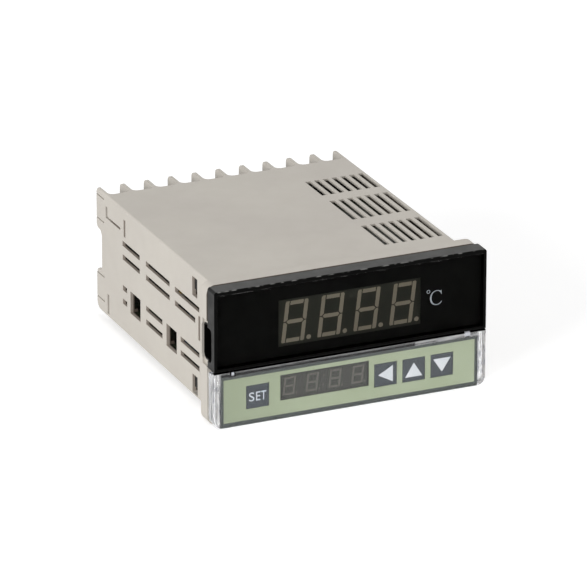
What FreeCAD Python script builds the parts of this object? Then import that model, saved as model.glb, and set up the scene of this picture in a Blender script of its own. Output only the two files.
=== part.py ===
import FreeCAD, Part
import Sketcher
import os
import re

# Panel-mounted temperature controller, 96 x 48 mm front, 109 mm deep.
# Millimetres. The origin is the centre of the panel seat, which is the rear face of the
# flange: -Y is the front that the operator sees, +Y runs back to the terminals, +Z is up.

doc = FreeCAD.newDocument("TemperatureController")
sheet = doc.addObject("Spreadsheet::Sheet", "Dims")

# ---------------------------------------------------------------- driving dimensions

DIMENSIONS = [
    # case moulding
    ("flange_width", 96.0), ("flange_height", 48.0), ("flange_depth", 5.0), ("flange_corner", 3.0),
    ("side_lip", 4.0), ("top_lip", 1.95), ("case_length", 98.4), ("case_wall", 1.5),
    ("side_draft", 0.39), ("top_draft", 0.47), ("case_edge_round", 0.7),
    # rear end of the case, measured forwards from the tips of the fins
    ("terminal_count", 10), ("fin_thickness", 1.0), ("seat_setback", 10.4), ("rear_wall", 2.0),
    ("plate_setback", 9.4), ("recess_setback", 4.4), ("recess_half_height", 7.0),
    ("fin_root_round", 2.0), ("fin_tip_round", 2.0), ("recess_round", 2.0), ("heel_round", 3.0),
    # slots in the side walls
    ("slot_height", 1.8), ("slot_skin", 1.0), ("slot_relief", 0.5),
    ("slot_row_top", 9.5), ("slot_row_second", 4.7), ("slot_row_third", -6.2),
    ("slot_row_bottom", -11.0),
    ("rear_slot_start", 60.6), ("rear_slot_end", 75.3), ("stub_slot_start", 71.7),
    ("middle_slot_start", 35.3), ("middle_slot_end", 55.3), ("short_slot_start", 41.5),
    ("front_slot_start", 10.6), ("front_slot_end", 30.8), ("trimmed_slot_start", 14.0),
    ("lower_slot_end", 26.2),
    # windows that the two mounting brackets hook into
    ("window_length", 8.6), ("window_height", 7.8), ("window_level", -9.1),
    ("rear_window_start", 60.2), ("front_window_start", 29.5),
    # windows for the snap hooks of the bezel
    ("snap_start", 12.2), ("snap_end", 16.4), ("snap_near_gap", 0.4), ("snap_far_gap", 2.15),
    # shallow lines moulded in the side walls, the rear ones measured from the fin tips
    ("line_depth", 1.2), ("line_width", 1.5), ("long_line_width", 0.8), ("mark_depth", 0.4),
    ("mark_width", 0.5), ("mark_length", 7.1),
    ("upper_line_setback", 25.6), ("upper_line_low", 12.2), ("upper_line_high", 18.2),
    ("lower_line_setback", 11.0), ("lower_line_low", -20.4), ("lower_line_high", -13.5),
    ("front_line_start", 9.9), ("front_line_low", -1.1), ("front_line_high", 7.4),
    ("corner_line_setback", 8.5), ("corner_line_length", 12.7), ("corner_line_low", 13.4),
    ("corner_line_high", 17.5), ("mark_level_first", 19.3), ("mark_level_second", 11.0),
    ("mark_level_third", -8.5), ("mark_level_fourth", -17.1),
    # ventilation louvres in the top and the bottom
    ("louvre_count", 7), ("louvre_pitch", 3.2), ("louvre_inset", 3.45), ("louvre_mouth", 1.9),
    ("louvre_skin", 0.8), ("louvre_border", 0.6),
    ("louvre_rear_start", 59.7), ("louvre_rear_end", 73.6),
    ("louvre_middle_start", 35.3), ("louvre_middle_end", 54.0),
    ("louvre_front_start", 10.1), ("louvre_front_end", 28.9),
    # release slot through the flange and the side of the bezel
    ("release_low", -1.3), ("release_high", 10.2), ("release_lip", 0.75), ("release_rear", 1.3),
    ("release_round", 1.5), ("well_wall", 0.5), ("well_gap", 0.1), ("well_round", 2.0),
    ("notch_low", -3.5), ("notch_high", 12.2), ("notch_rear", 1.4),
    ("notch_depth", 0.8),
    # bezel
    ("front_depth", 11.0), ("lens_thickness", 1.6), ("bezel_bottom", -3.65), ("bezel_corner", 1.0),
    ("bezel_wall", 1.8), ("bezel_face", 1.6), ("frame_edge_round", 0.25),
    ("shadow_gap", 0.5), ("shadow_gap_depth", 0.6),
    ("lens_side_rim", 1.0), ("lens_top_rim", 1.3), ("lens_low_rim", 0.9), ("lens_gap", 0.1),
    ("lens_bevel", 0.2),
    ("panel_lip", 0.5), ("panel_face", 1.5), ("panel_wall", 1.6),
    ("skirt_gap", 0.2), ("skirt_wall", 1.2), ("skirt_reach", 2.65), ("ledge_width", 1.1),
    ("snap_arm_inset", 1.35), ("snap_arm_width", 4.0), ("snap_hook_lead", 0.8),
    ("snap_hook_reach", 1.0),
    # cover and its hinge
    ("cover_plate", 1.2), ("cover_cheek", 2.05), ("cheek_gap", 0.35), ("cover_gap", 0.3),
    ("cover_rear_gap", 1.3), ("cover_lip", 0.6), ("cover_corner", 3.0),
    ("cover_edge_round", 0.4),
    ("hinge_radius", 0.95), ("hinge_pin", 0.55), ("hinge_play", 0.05), ("hinge_ear", 0.88),
    ("hinge_ear_width", 1.6), ("hinge_ear_inset", 4.0), ("hinge_notch_gap", 0.3),
    ("hinge_floor_gap", 0.35), ("hinge_rear_gap", 0.3),
    # key panel
    ("label_side_margin", 0.3), ("label_top_margin", 0.05), ("label_bottom_margin", 0.05),
    ("label_thickness", 0.25), ("label_gap", 0.3),
    ("key_size", 7.8), ("key_gap", 0.15), ("key_rise", 0.475), ("key_rim", 0.7),
    ("key_rim_thickness", 0.8), ("key_stop_gap", 0.05), ("key_stem", 1.6), ("key_stem_length", 0.4),
    ("key_corner", 0.4), ("key_well_gap", 0.25), ("set_key_place", -32.5),
    ("shift_key_place", 12.65), ("key_pitch", 10.05),
    ("switch_size", 6.0), ("switch_height", 3.5), ("switch_button", 1.7),
    ("button_gap", 0.1), ("button_sink", 0.75), ("button_well", 1.6),
    # process value display
    ("digit_module_width", 50.3), ("digit_module_height", 19.0), ("digit_module_depth", 8.0),
    ("digit_module_headroom", 0.45), ("digit_module_sink", 0.15), ("module_gap", 0.1),
    ("digit_pitch", 12.7), ("digit_height", 14.15), ("digit_width", 8.0), ("digit_stroke", 1.35),
    ("digit_slant", 0.118), ("digit_first", -19.15), ("digit_rise", -0.03), ("dot_radius", 0.8),
    ("dot_offset", 5.6), ("segment_gap", 0.33), ("segment_corner", 0.35),
    ("segment_depth", 0.4),
    # set value display
    ("set_module_width", 31.0), ("set_module_height", 9.8), ("set_module_place", -8.9),
    ("set_module_drop", 6.8), ("set_window_width", 31.3), ("set_window_height", 8.8),
    ("pane_width", 32.6), ("pane_height", 11.6), ("pane_thickness", 0.4), ("pane_gap", 0.1),
    ("small_pitch", 8.05), ("small_height", 6.2), ("small_width", 4.05), ("small_stroke", 0.66),
    ("small_first", -21.05), ("small_dot", 0.36), ("small_dot_offset", 2.8), ("small_gap", 0.16),
    # circuit boards
    ("board_thickness", 1.6), ("display_board_gap", 0.2), ("board_headroom", 5.95),
    ("board_side_gap", 0.9), ("board_lead", 1.5), ("board_rear_gap", 4.0),
    ("rail_gap", 0.15), ("rail_thickness", 1.0), ("rail_grip", 0.6), ("rail_start", 19.0),
    ("rail_root", 0.8),
    ("boss_inset", 5.1), ("boss_drop", 2.65), ("boss_radius", 2.0), ("board_screw", 1.08),
    ("pilot_gap", 0.04), ("board_screw_head", 1.95), ("board_screw_head_height", 1.5),
    ("board_screw_length", 5.0), ("board_screw_slot", 0.5), ("board_screw_slot_depth", 0.6),
    ("board_hole", 1.3),
    ("header_length", 25.4), ("header_size", 2.5), ("header_pins", 10), ("header_pitch", 2.54),
    ("header_pin", 0.32), ("header_drop", 1.85), ("header_lap", 2.5),
    # parts on the power board, placed from its left, right and rear edges
    ("core_width", 20.0), ("core_depth", 10.0), ("core_height", 17.0), ("core_leg", 6.0),
    ("core_yoke", 3.0), ("core_side", 2.6), ("transformer_edge", 3.6), ("transformer_rear", 12.5),
    ("coil_gap", 0.1), ("bobbin_wall", 0.8), ("bobbin_reach", 3.5), ("bobbin_flange", 1.0),
    ("winding_inset", 0.4),
    ("mains_capacitor_radius", 5.0), ("mains_capacitor_height", 16.0),
    ("mains_capacitor_gap", 2.0), ("mains_capacitor_rear", 12.0),
    ("relay_width", 15.4), ("relay_length", 19.0), ("relay_height", 15.0), ("relay_round", 0.6),
    ("relay_edge", 2.4), ("relay_gap", 2.6), ("relay_rear", 6.5),
    ("fuse_radius", 4.2), ("fuse_height", 7.5), ("fuse_edge", 5.4), ("fuse_y", 33.0),
    ("varistor_radius", 4.5), ("varistor_thickness", 3.2), ("varistor_gap", 4.3),
    ("varistor_y", 31.0),
    ("rectifier_length", 8.5), ("rectifier_width", 6.4), ("rectifier_height", 3.3),
    ("rectifier_x", -4.0), ("rectifier_y", 40.0),
    # parts on the main board, placed from its edges or its middle
    ("chip_length", 35.0), ("chip_width", 7.0), ("chip_height", 3.3), ("chip_standoff", 0.5),
    ("chip_x", -2.0), ("chip_y", 30.0), ("chip_leg_count", 14), ("chip_leg_pitch", 2.54),
    ("chip_leg", 0.25), ("chip_leg_spread", 0.5),
    ("converter_length", 10.0), ("converter_width", 4.0), ("converter_height", 1.75),
    ("converter_edge", 8.6), ("converter_y", 32.0),
    ("crystal_length", 11.0), ("crystal_width", 4.7), ("crystal_height", 3.5),
    ("crystal_end_round", 2.25), ("crystal_x", -2.0), ("crystal_y", 19.0),
    ("trimmer_length", 9.5), ("trimmer_width", 4.8), ("trimmer_height", 9.5),
    ("trimmer_screw", 1.1), ("trimmer_screw_reach", 1.2), ("trimmer_edge", 7.2),
    ("trimmer_y", 44.0),
    ("smoothing_radius", 3.15), ("smoothing_height", 11.0), ("smoothing_edge", 4.45),
    ("smoothing_y", 22.0), ("smoothing_count", 3), ("smoothing_pitch", 8.5),
    ("capacitor_round", 0.5),
    ("coupler_length", 6.4), ("coupler_width", 4.6), ("coupler_height", 3.5),
    ("coupler_x", 12.0), ("coupler_y", 46.0), ("coupler_pitch", 8.0), ("coupler_count", 2),
    ("regulator_width", 10.0), ("regulator_depth", 4.4), ("regulator_height", 9.0),
    ("regulator_tab", 1.3), ("regulator_tab_height", 15.5), ("regulator_lead", 3.0),
    ("regulator_lead_width", 0.8), ("regulator_lead_pitch", 2.54), ("regulator_gap", 3.85),
    ("regulator_y", 22.0),
    # terminals
    ("clamp_plate", 0.8), ("clamp_plate_width", 6.2), ("clamp_plate_reach", 3.8),
    ("tail_width", 2.4), ("tail_lap", 5.0), ("tail_gap", 0.1),
    ("washer_size", 5.8), ("washer_thickness", 0.8), ("screw_rise", 2.2), ("screw_radius", 1.5),
    ("screw_hole_gap", 0.1), ("screw_relief_gap", 0.2), ("screw_length", 6.1),
    ("screw_head", 2.75), ("screw_head_height", 2.0), ("screw_head_round", 0.8),
    ("screw_slot", 0.7), ("screw_slot_length", 3.6), ("screw_slot_depth", 1.1),
]

for row, (alias, number) in enumerate(DIMENSIONS, start=1):
    sheet.set(f"A{row}", alias)
    sheet.set(f"B{row}", str(number))
    sheet.setAlias(f"B{row}", alias)
doc.recompute()

ALIASES = re.compile(r"\b(" + "|".join(alias for alias, number in DIMENSIONS) + r")\b")


def value(alias):
    return float(getattr(sheet, alias))


def bind(item, prop, text):
    item.setExpression(prop, ALIASES.sub(lambda found: "Dims." + found.group(0), text))


# ---------------------------------------------------------------- shapes bound to the sheet

def block(name, x, y, z):
    """A box between two corners, each given as (low, high) expressions."""
    item = doc.addObject("Part::Box", name)
    for size, base, (low, high) in (("Length", "x", x), ("Width", "y", y), ("Height", "z", z)):
        bind(item, size, f"({high})-({low})")
        bind(item, f"Placement.Base.{base}", low)
    return item


def middle(centre, size):
    """A (low, high) span of a size about a centre."""
    return (f"({centre})-({size})/2", f"({centre})+({size})/2")


TURNS = {"x": FreeCAD.Rotation(FreeCAD.Vector(0, 1, 0), 90),
         "y": FreeCAD.Rotation(FreeCAD.Vector(1, 0, 0), -90),
         "z": FreeCAD.Rotation()}


def rod(name, axis, radius, span, centre):
    """A cylinder along an axis, between span's ends, through a point of the other two axes."""
    item = doc.addObject("Part::Cylinder", name)
    item.Placement = FreeCAD.Placement(FreeCAD.Vector(), TURNS[axis])
    bind(item, "Radius", radius)
    bind(item, "Height", f"({span[1]})-({span[0]})")
    others = [letter for letter in "xyz" if letter != axis]
    bind(item, f"Placement.Base.{axis}", span[0])
    for letter, place in zip(others, centre):
        bind(item, f"Placement.Base.{letter}", place)
    return item


def taper(name, y, x, z, x_rear, z_rear):
    """A box whose rear face has another size than its front face."""
    item = doc.addObject("Part::Wedge", name)
    for prop, text in (("Ymin", y[0]), ("Ymax", y[1]), ("Xmin", x[0]), ("Xmax", x[1]),
                       ("Zmin", z[0]), ("Zmax", z[1]), ("X2min", x_rear[0]),
                       ("X2max", x_rear[1]), ("Z2min", z_rear[0]), ("Z2max", z_rear[1])):
        bind(item, prop, text)
    return item


def fuse(name, parts):
    item = doc.addObject("Part::MultiFuse", name)
    item.Shapes = parts
    item.Refine = True
    return item


def cut(name, base, tools):
    item = doc.addObject("Part::Cut", name)
    item.Base = base
    item.Tool = tools[0] if len(tools) == 1 else fuse(name + "_tools", tools)
    item.Refine = True
    return item


def group(name, parts):
    item = doc.addObject("Part::Compound", name)
    item.Links = parts
    return item


def round_edges(name, base, radius, picked, kind="Part::Fillet"):
    """Fillets or chamfers the edges of base for which picked(edge) is true."""
    doc.recompute()
    numbers = [n for n, edge in enumerate(base.Shape.Edges, start=1) if picked(edge)]
    if not numbers:
        raise RuntimeError(f"{name} found no edge to round")
    item = doc.addObject(kind, name)
    item.Base = base
    item.Edges = [(n, value(radius), value(radius)) for n in numbers]
    return item


def direction(edge):
    """The axis letter that a straight edge mostly follows, or None for a curve."""
    if edge.Curve.TypeId != "Part::GeomLine":
        return None
    way = edge.Vertexes[-1].Point - edge.Vertexes[0].Point
    sizes = {"x": abs(way.x), "y": abs(way.y), "z": abs(way.z)}
    return max(sizes, key=sizes.get)


def near(first, second, slack=0.05):
    return abs(first - second) < slack


NODES = []


def finish(name, item):
    """Marks an object as a sub-part: its label is the name of its file."""
    item.Label = name
    NODES.append(item)
    return item


# ---------------------------------------------------------------- case

HALF_WIDTH = "(flange_width/2-side_lip)"
HALF_HEIGHT = "(flange_height/2-top_lip)"
REAR_HALF_WIDTH = f"({HALF_WIDTH}-side_draft)"
REAR_HALF_HEIGHT = f"({HALF_HEIGHT}-top_draft)"
SEAT = "(case_length-seat_setback)"
PLATE_END = "(case_length-plate_setback)"
BOARD_LEVEL = f"({HALF_HEIGHT}-case_wall-board_headroom-board_thickness)"
BOARD_TOP = f"({BOARD_LEVEL}+board_thickness)"
BOARD_HALF = f"({HALF_WIDTH}-case_wall-board_side_gap)"
BOARD_END = f"({SEAT}-rear_wall-board_rear_gap)"
SCREW_LEVEL = f"({BOARD_LEVEL}+screw_rise)"
BAY_PITCH = f"((2*{REAR_HALF_WIDTH}-fin_thickness)/terminal_count)"
BAY_WIDTH = f"({BAY_PITCH}-fin_thickness)"
SIDES = ((-1, "left"), (1, "right"))
ROWS = ((1, "upper"), (-1, "lower"))


def mirrored(sign, low, high):
    """A span given for the positive side, put on either side."""
    return (low, high) if sign > 0 else (f"-({high})", f"-({low})")


def bay_place(number):
    return f"(-{REAR_HALF_WIDTH}+fin_thickness/2+({number}+0.5)*{BAY_PITCH})"


def case_body():
    """Tapered body with the side profile of its rear end and the flange in front."""
    outer = taper("case_outer", ("0", "case_length"),
                  (f"-{HALF_WIDTH}", HALF_WIDTH), (f"-{HALF_HEIGHT}", HALF_HEIGHT),
                  (f"-{REAR_HALF_WIDTH}", REAR_HALF_WIDTH),
                  (f"-{REAR_HALF_HEIGHT}", REAR_HALF_HEIGHT))
    recess = block("rear_recess", (f"-{HALF_WIDTH}-1", f"{HALF_WIDTH}+1"),
                   ("case_length-recess_setback", "case_length+1"),
                   ("-recess_half_height", "recess_half_height"))
    recess_rounded = round_edges("rear_recess_rounded", recess, "recess_round", lambda edge:
                                 direction(edge) == "x"
                                 and edge.CenterOfMass.y < value("case_length"))
    profiled = cut("case_profiled", outer, [recess_rounded])

    lowest = -value("flange_height") / 3

    def at_rear(edge):
        return direction(edge) == "x" and near(edge.CenterOfMass.y, value("case_length"))

    tips = round_edges("case_tips", profiled, "fin_tip_round",
                       lambda edge: at_rear(edge) and edge.CenterOfMass.z > lowest)
    heel = round_edges("case_heel", tips, "heel_round",
                       lambda edge: at_rear(edge) and edge.CenterOfMass.z < lowest)
    eased = round_edges("case_eased", heel, "case_edge_round", lambda edge:
                        direction(edge) == "y" and edge.Length > value("case_length") / 2
                        and abs(edge.CenterOfMass.z) > value("flange_height") / 3)
    flange = block("flange_plate", ("-flange_width/2", "flange_width/2"), ("-flange_depth", "0"),
                   ("-flange_height/2", "flange_height/2"))
    flange_rounded = round_edges("flange_rounded", flange, "flange_corner",
                                 lambda edge: direction(edge) == "y")
    return fuse("case_blank", [eased, flange_rounded])


def case_cavity():
    """The inside of the case, open at the front, closed by the wall behind the terminals."""
    inner_width = f"({HALF_WIDTH}-case_wall)"
    inner_height = f"({HALF_HEIGHT}-case_wall)"
    end = f"({SEAT}-rear_wall)"
    return fuse("case_cavity", [
        taper("cavity_main", ("0", end), (f"-{inner_width}", inner_width),
              (f"-{inner_height}", inner_height),
              (f"-({inner_width}-side_draft*{end}/case_length)",
               f"{inner_width}-side_draft*{end}/case_length"),
              (f"-({inner_height}-top_draft*{end}/case_length)",
               f"{inner_height}-top_draft*{end}/case_length")),
        block("cavity_mouth", (f"-{inner_width}", inner_width), ("-flange_depth-1", "0"),
              (f"-{inner_height}", inner_height))])


def terminal_bays():
    """Twenty open bays between the fins, with the holes for each screw and terminal tail."""
    tools = []
    roof = f"({REAR_HALF_HEIGHT}-case_wall)"
    for number in range(int(value("terminal_count"))):
        across = middle(bay_place(number), BAY_WIDTH)
        for sign, row in ROWS:
            tag = f"{row}_{number + 1}"
            tools.append(block(f"bay_{tag}", across, (SEAT, "case_length+1"),
                               mirrored(sign, "recess_half_height", roof)))
            gate = block(f"gate_{tag}", across, (PLATE_END, "case_length+5"),
                         mirrored(sign, f"{roof}-2", f"{REAR_HALF_HEIGHT}+1"))
            tools.append(round_edges(f"gate_rounded_{tag}", gate, "fin_root_round", lambda edge:
                                     direction(edge) == "z"
                                     and edge.CenterOfMass.y < value("case_length")))
            tools.append(rod(f"screw_relief_{tag}", "y", "screw_radius+screw_relief_gap",
                             (f"{SEAT}-rear_wall-1", f"{SEAT}+1"),
                             (bay_place(number), f"{sign}*{SCREW_LEVEL}")))
            tools.append(block(f"tail_slot_{tag}", middle(bay_place(number), "tail_width+2*tail_gap"),
                               (f"{SEAT}-rear_wall-1", f"{SEAT}+1"),
                               mirrored(sign, f"{BOARD_LEVEL}-clamp_plate-tail_gap",
                                        f"{BOARD_LEVEL}+tail_gap")))
    return tools


# Each through slot of a side wall: name, ends along the case, level.
SIDE_SLOTS = (
    ("rear_top", "rear_slot_start", "rear_slot_end", "slot_row_top"),
    ("rear_second", "rear_slot_start", "rear_slot_end", "slot_row_second"),
    ("rear_third", "stub_slot_start", "rear_slot_end", "slot_row_third"),
    ("rear_bottom", "stub_slot_start", "rear_slot_end", "slot_row_bottom"),
    ("middle_top", "middle_slot_start", "middle_slot_end", "slot_row_top"),
    ("middle_second", "middle_slot_start", "middle_slot_end", "slot_row_second"),
    ("middle_third", "short_slot_start", "middle_slot_end", "slot_row_third"),
    ("middle_bottom", "short_slot_start", "middle_slot_end", "slot_row_bottom"),
    ("front_top", "front_slot_start", "front_slot_end", "slot_row_top"),
    ("front_second", "trimmed_slot_start", "front_slot_end", "slot_row_second"),
    ("front_third", "front_slot_start", "lower_slot_end", "slot_row_third"),
    ("front_bottom", "front_slot_start", "lower_slot_end", "slot_row_bottom"),
)


SKIRT_WIDTH = f"({HALF_WIDTH}-case_wall-skirt_gap)"
SKIRT_HEIGHT = f"({HALF_HEIGHT}-case_wall-skirt_gap)"
SNAP_HIGH = f"({SKIRT_HEIGHT}-snap_arm_inset)"
SNAP_LOW = f"({SNAP_HIGH}-snap_arm_width)"


def side_openings():
    """Slots and windows that go right through the two side walls."""
    tools = []
    inside = f"{REAR_HALF_WIDTH}-case_wall-rail_grip-1"
    outside = f"{HALF_WIDTH}+1"
    for sign, side in SIDES:
        through = mirrored(sign, inside, outside)
        for name, start, end, level in SIDE_SLOTS:
            tools.append(block(f"slot_{name}_{side}", through, (start, end),
                               middle(level, "slot_height")))
            skin = f"{HALF_WIDTH}-side_draft*{end}/case_length-slot_skin"
            tools.append(block(f"slot_relief_{name}_{side}",
                               mirrored(sign, inside, skin), (start, end),
                               middle(level, "slot_height+2*slot_relief")))
        for name, start in (("rear", "rear_window_start"), ("front", "front_window_start")):
            tools.append(block(f"window_{name}_{side}", through,
                               (start, f"{start}+window_length"),
                               middle("window_level", "window_height")))
        for name, low, high in (
                ("upper", f"{SNAP_LOW}-snap_far_gap", f"{SNAP_HIGH}+snap_near_gap"),
                ("lower", f"-{SNAP_HIGH}-snap_far_gap", f"-{SNAP_LOW}+snap_near_gap")):
            tools.append(block(f"snap_window_{name}_{side}", through, ("snap_start", "snap_end"),
                               (low, high)))
    return tools


def side_lines():
    """Blind lines in the outside of the two side walls."""
    tools = []
    outside = f"{HALF_WIDTH}+1"
    corner = "(case_length-corner_line_setback)"
    for sign, side in SIDES:
        deep = mirrored(sign, f"{REAR_HALF_WIDTH}-line_depth", outside)
        faint = mirrored(sign, f"{REAR_HALF_WIDTH}-mark_depth", outside)
        for name, start, low, high in (
                ("upper", "case_length-upper_line_setback", "upper_line_low", "upper_line_high"),
                ("lower", "case_length-lower_line_setback", "lower_line_low", "lower_line_high"),
                ("front", "front_line_start", "front_line_low", "front_line_high"),
                ("corner", f"{corner}-line_width", "corner_line_low", "corner_line_high")):
            tools.append(block(f"line_{name}_{side}", deep, (start, f"{start}+line_width"),
                               (low, high)))
        tools.append(block(f"line_long_{side}", deep, (f"{corner}-corner_line_length", corner),
                           ("corner_line_low", "corner_line_low+long_line_width")))
        for level in ("mark_level_first", "mark_level_second", "mark_level_third",
                      "mark_level_fourth"):
            tools.append(block(f"{level}_{side}", faint,
                               ("case_length-mark_length", "case_length+1"),
                               middle(level, "mark_width")))
    return tools


def louvres():
    """Slots in three banks along the right of the top and bottom, where the wall is thinner."""
    tools = []
    banks = (("rear", "louvre_rear_start", "louvre_rear_end"),
             ("middle", "louvre_middle_start", "louvre_middle_end"),
             ("front", "louvre_front_start", "louvre_front_end"))
    last = f"{HALF_WIDTH}-louvre_inset-(louvre_count-1)*louvre_pitch"
    for bank, start, end in banks:
        roof = f"{HALF_HEIGHT}-top_draft*{end}/case_length-louvre_skin"
        for sign, row in ROWS:
            tools.append(block(f"louvre_pocket_{bank}_{row}",
                               (f"{last}-louvre_border", f"{REAR_HALF_WIDTH}-case_wall"),
                               (f"{start}-louvre_border", f"{end}+louvre_border"),
                               mirrored(sign, f"{REAR_HALF_HEIGHT}-case_wall-1", roof)))
            for number in range(int(value("louvre_count"))):
                edge = f"({HALF_WIDTH}-louvre_inset-{number}*louvre_pitch)"
                tools.append(block(f"louvre_{bank}_{row}_{number + 1}",
                                   (edge, f"{edge}+louvre_mouth"), (start, end),
                                   mirrored(sign, f"{REAR_HALF_HEIGHT}-case_wall-1",
                                            f"{HALF_HEIGHT}+1")))
    return tools


def release_shapes(name, inner, outer, border, radius):
    """On both sides, the rounded outline of the release slot, grown by border."""
    shapes = []
    for sign, side in SIDES:
        box = block(f"{name}_box_{side}", mirrored(sign, inner, outer),
                    (f"-front_depth+lens_thickness+release_lip-({border})",
                     f"-release_rear+{border}"),
                    (f"release_low-({border})", f"release_high+{border}"))
        shapes.append(round_edges(f"{name}_{side}", box, radius,
                                  lambda edge: direction(edge) == "x"))
    return shapes


def flange_notches():
    return [block(f"flange_notch_{side}",
                  mirrored(sign, "flange_width/2-notch_depth", "flange_width/2+1"),
                  ("-flange_depth-1", "-notch_rear"), ("notch_low", "notch_high"))
            for sign, side in SIDES]


def board_rails():
    """Ribs that hold the two long boards by their side edges."""
    ribs = []
    for sign, side in SIDES:
        across = mirrored(sign, f"{BOARD_HALF}-rail_grip", f"{REAR_HALF_WIDTH}-rail_root")
        along = ("rail_start", f"{BOARD_END}+1")
        for row_sign, row in ROWS:
            ribs.append(block(f"rail_inner_{row}_{side}", across, along, mirrored(
                row_sign, f"{BOARD_LEVEL}-rail_gap-rail_thickness", f"{BOARD_LEVEL}-rail_gap")))
            ribs.append(block(f"rail_outer_{row}_{side}", across, along, mirrored(
                row_sign, f"{BOARD_TOP}+rail_gap", f"{BOARD_TOP}+rail_gap+rail_thickness")))
    return ribs


hollow_case = cut("case_hollow", case_body(), [case_cavity()] + terminal_bays())
railed_case = fuse("case_railed", [hollow_case] + board_rails())
finish("case_shell", cut("case_shell", railed_case,
                         side_openings() + side_lines() + louvres() + flange_notches()
                         + release_shapes("flange_slot", f"{HALF_WIDTH}-case_wall-1",
                                          "flange_width/2+1", "well_wall+well_gap",
                                          "well_round")))


# ---------------------------------------------------------------- bezel

FRAME_FRONT = "(-front_depth+lens_thickness)"
PANEL_FRONT = "(-front_depth+cover_plate+label_gap+label_thickness)"
PANEL_BACK = f"({PANEL_FRONT}+panel_face)"
PANEL_HALF = "(flange_width/2-cover_cheek-cheek_gap)"
PANEL_TOP = "(bezel_bottom-cover_gap-2*hinge_radius-hinge_floor_gap)"
PANEL_BOTTOM = "(-flange_height/2+panel_lip)"
TROUGH_FRONT = "(-front_depth+2*hinge_radius+hinge_rear_gap)"
BOARD_FACE = f"({FRAME_FRONT}+digit_module_sink+digit_module_depth)"
BOARD_BACK = f"({BOARD_FACE}+board_thickness)"
SKIRT_END = f"({BOARD_BACK}+skirt_reach)"
HINGE_Y = "(-front_depth+hinge_radius)"
HINGE_Z = "(bezel_bottom-cover_gap-hinge_radius)"
EAR_OFFSET = f"({PANEL_HALF}-hinge_ear_inset)"
BOSS = (f"({SKIRT_WIDTH}-skirt_wall-boss_inset)", f"({SKIRT_HEIGHT}-skirt_wall-boss_drop)")
DIGIT_LEVEL = f"({SKIRT_HEIGHT}-skirt_wall-digit_module_headroom-digit_module_height/2)"
LABEL_TOP = f"({PANEL_TOP}-label_top_margin)"
LABEL_BOTTOM = f"({PANEL_BOTTOM}+label_bottom_margin)"
KEY_LEVEL = f"(({LABEL_TOP}+{LABEL_BOTTOM})/2+key_rise)"
SET_LEVEL = f"({PANEL_TOP}-set_module_drop)"
KEYS = (("set", "set_key_place"), ("shift", "shift_key_place"),
        ("up", "(shift_key_place+key_pitch)"), ("down", "(shift_key_place+2*key_pitch)"))


def at_front(edge):
    """Whether an edge lies in the front face."""
    return near(edge.BoundBox.YMax, -value("front_depth"), 0.001)


def upper_frame():
    """Shallow tray with a rim round the display lens and a groove in front of the flange."""
    frame = block("frame_block", ("-flange_width/2", "flange_width/2"),
                  ("-front_depth", "-flange_depth-shadow_gap"),
                  ("bezel_bottom", "flange_height/2"))
    rounded = round_edges("frame_rounded", frame, "bezel_corner",
                          lambda edge: direction(edge) == "y" and edge.CenterOfMass.z > 0)
    softened = round_edges("frame_softened", rounded, "frame_edge_round", at_front)
    neck = block("frame_neck", ("-flange_width/2+shadow_gap_depth",
                                "flange_width/2-shadow_gap_depth"),
                 ("-flange_depth-shadow_gap-1", "-flange_depth"),
                 ("bezel_bottom", "flange_height/2-shadow_gap_depth"))
    seat = block("lens_seat", ("-flange_width/2+lens_side_rim", "flange_width/2-lens_side_rim"),
                 ("-front_depth-1", FRAME_FRONT),
                 ("bezel_bottom+lens_low_rim", "flange_height/2-lens_top_rim"))
    hollow = block("frame_hollow", ("-flange_width/2+bezel_wall", "flange_width/2-bezel_wall"),
                   (f"{FRAME_FRONT}+bezel_face", "0"),
                   ("bezel_bottom+bezel_wall", "flange_height/2-bezel_wall"))
    return cut("upper_frame", fuse("frame_solid", [softened, neck]), [seat, hollow])


def key_panel():
    """Raised lower panel that the label and the keys sit in."""
    full = (f"-{PANEL_HALF}", PANEL_HALF)
    panel = block("panel_block", full, (PANEL_FRONT, "-flange_depth"), (PANEL_BOTTOM, PANEL_TOP))
    web = block("panel_web", full, (TROUGH_FRONT, "-flange_depth"),
                (f"{PANEL_TOP}-panel_wall/2", "bezel_bottom+bezel_wall/2"))
    across = (f"-{PANEL_HALF}+panel_wall", f"{PANEL_HALF}-panel_wall")
    hollow = block("panel_hollow", across, (PANEL_BACK, "0"),
                   (f"{PANEL_BOTTOM}+panel_wall", f"{PANEL_TOP}-panel_wall"))
    web_hollow = block("web_hollow", across, (f"{TROUGH_FRONT}+panel_face", "0"),
                       (PANEL_TOP, "bezel_bottom"))
    return cut("key_panel", fuse("panel_blank", [panel, web]), [hollow, web_hollow])


def skirt():
    """Sleeve that plugs into the mouth of the case, with a ledge for the display board."""
    outer = block("skirt_outer", (f"-{SKIRT_WIDTH}", SKIRT_WIDTH),
                  (f"{FRAME_FRONT}+bezel_face/2", SKIRT_END),
                  (f"-{SKIRT_HEIGHT}", SKIRT_HEIGHT))
    inner_width = f"({SKIRT_WIDTH}-skirt_wall)"
    inner_height = f"({SKIRT_HEIGHT}-skirt_wall)"
    bore = block("skirt_bore", (f"-{inner_width}", inner_width), (BOARD_FACE, f"{SKIRT_END}+1"),
                 (f"-{inner_height}", inner_height))
    throat = block("skirt_throat", (f"-{inner_width}+ledge_width", f"{inner_width}-ledge_width"),
                   ("-front_depth", f"{SKIRT_END}+1"), (f"-{inner_height}", inner_height))
    return cut("skirt", outer, [bore, throat])


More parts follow.
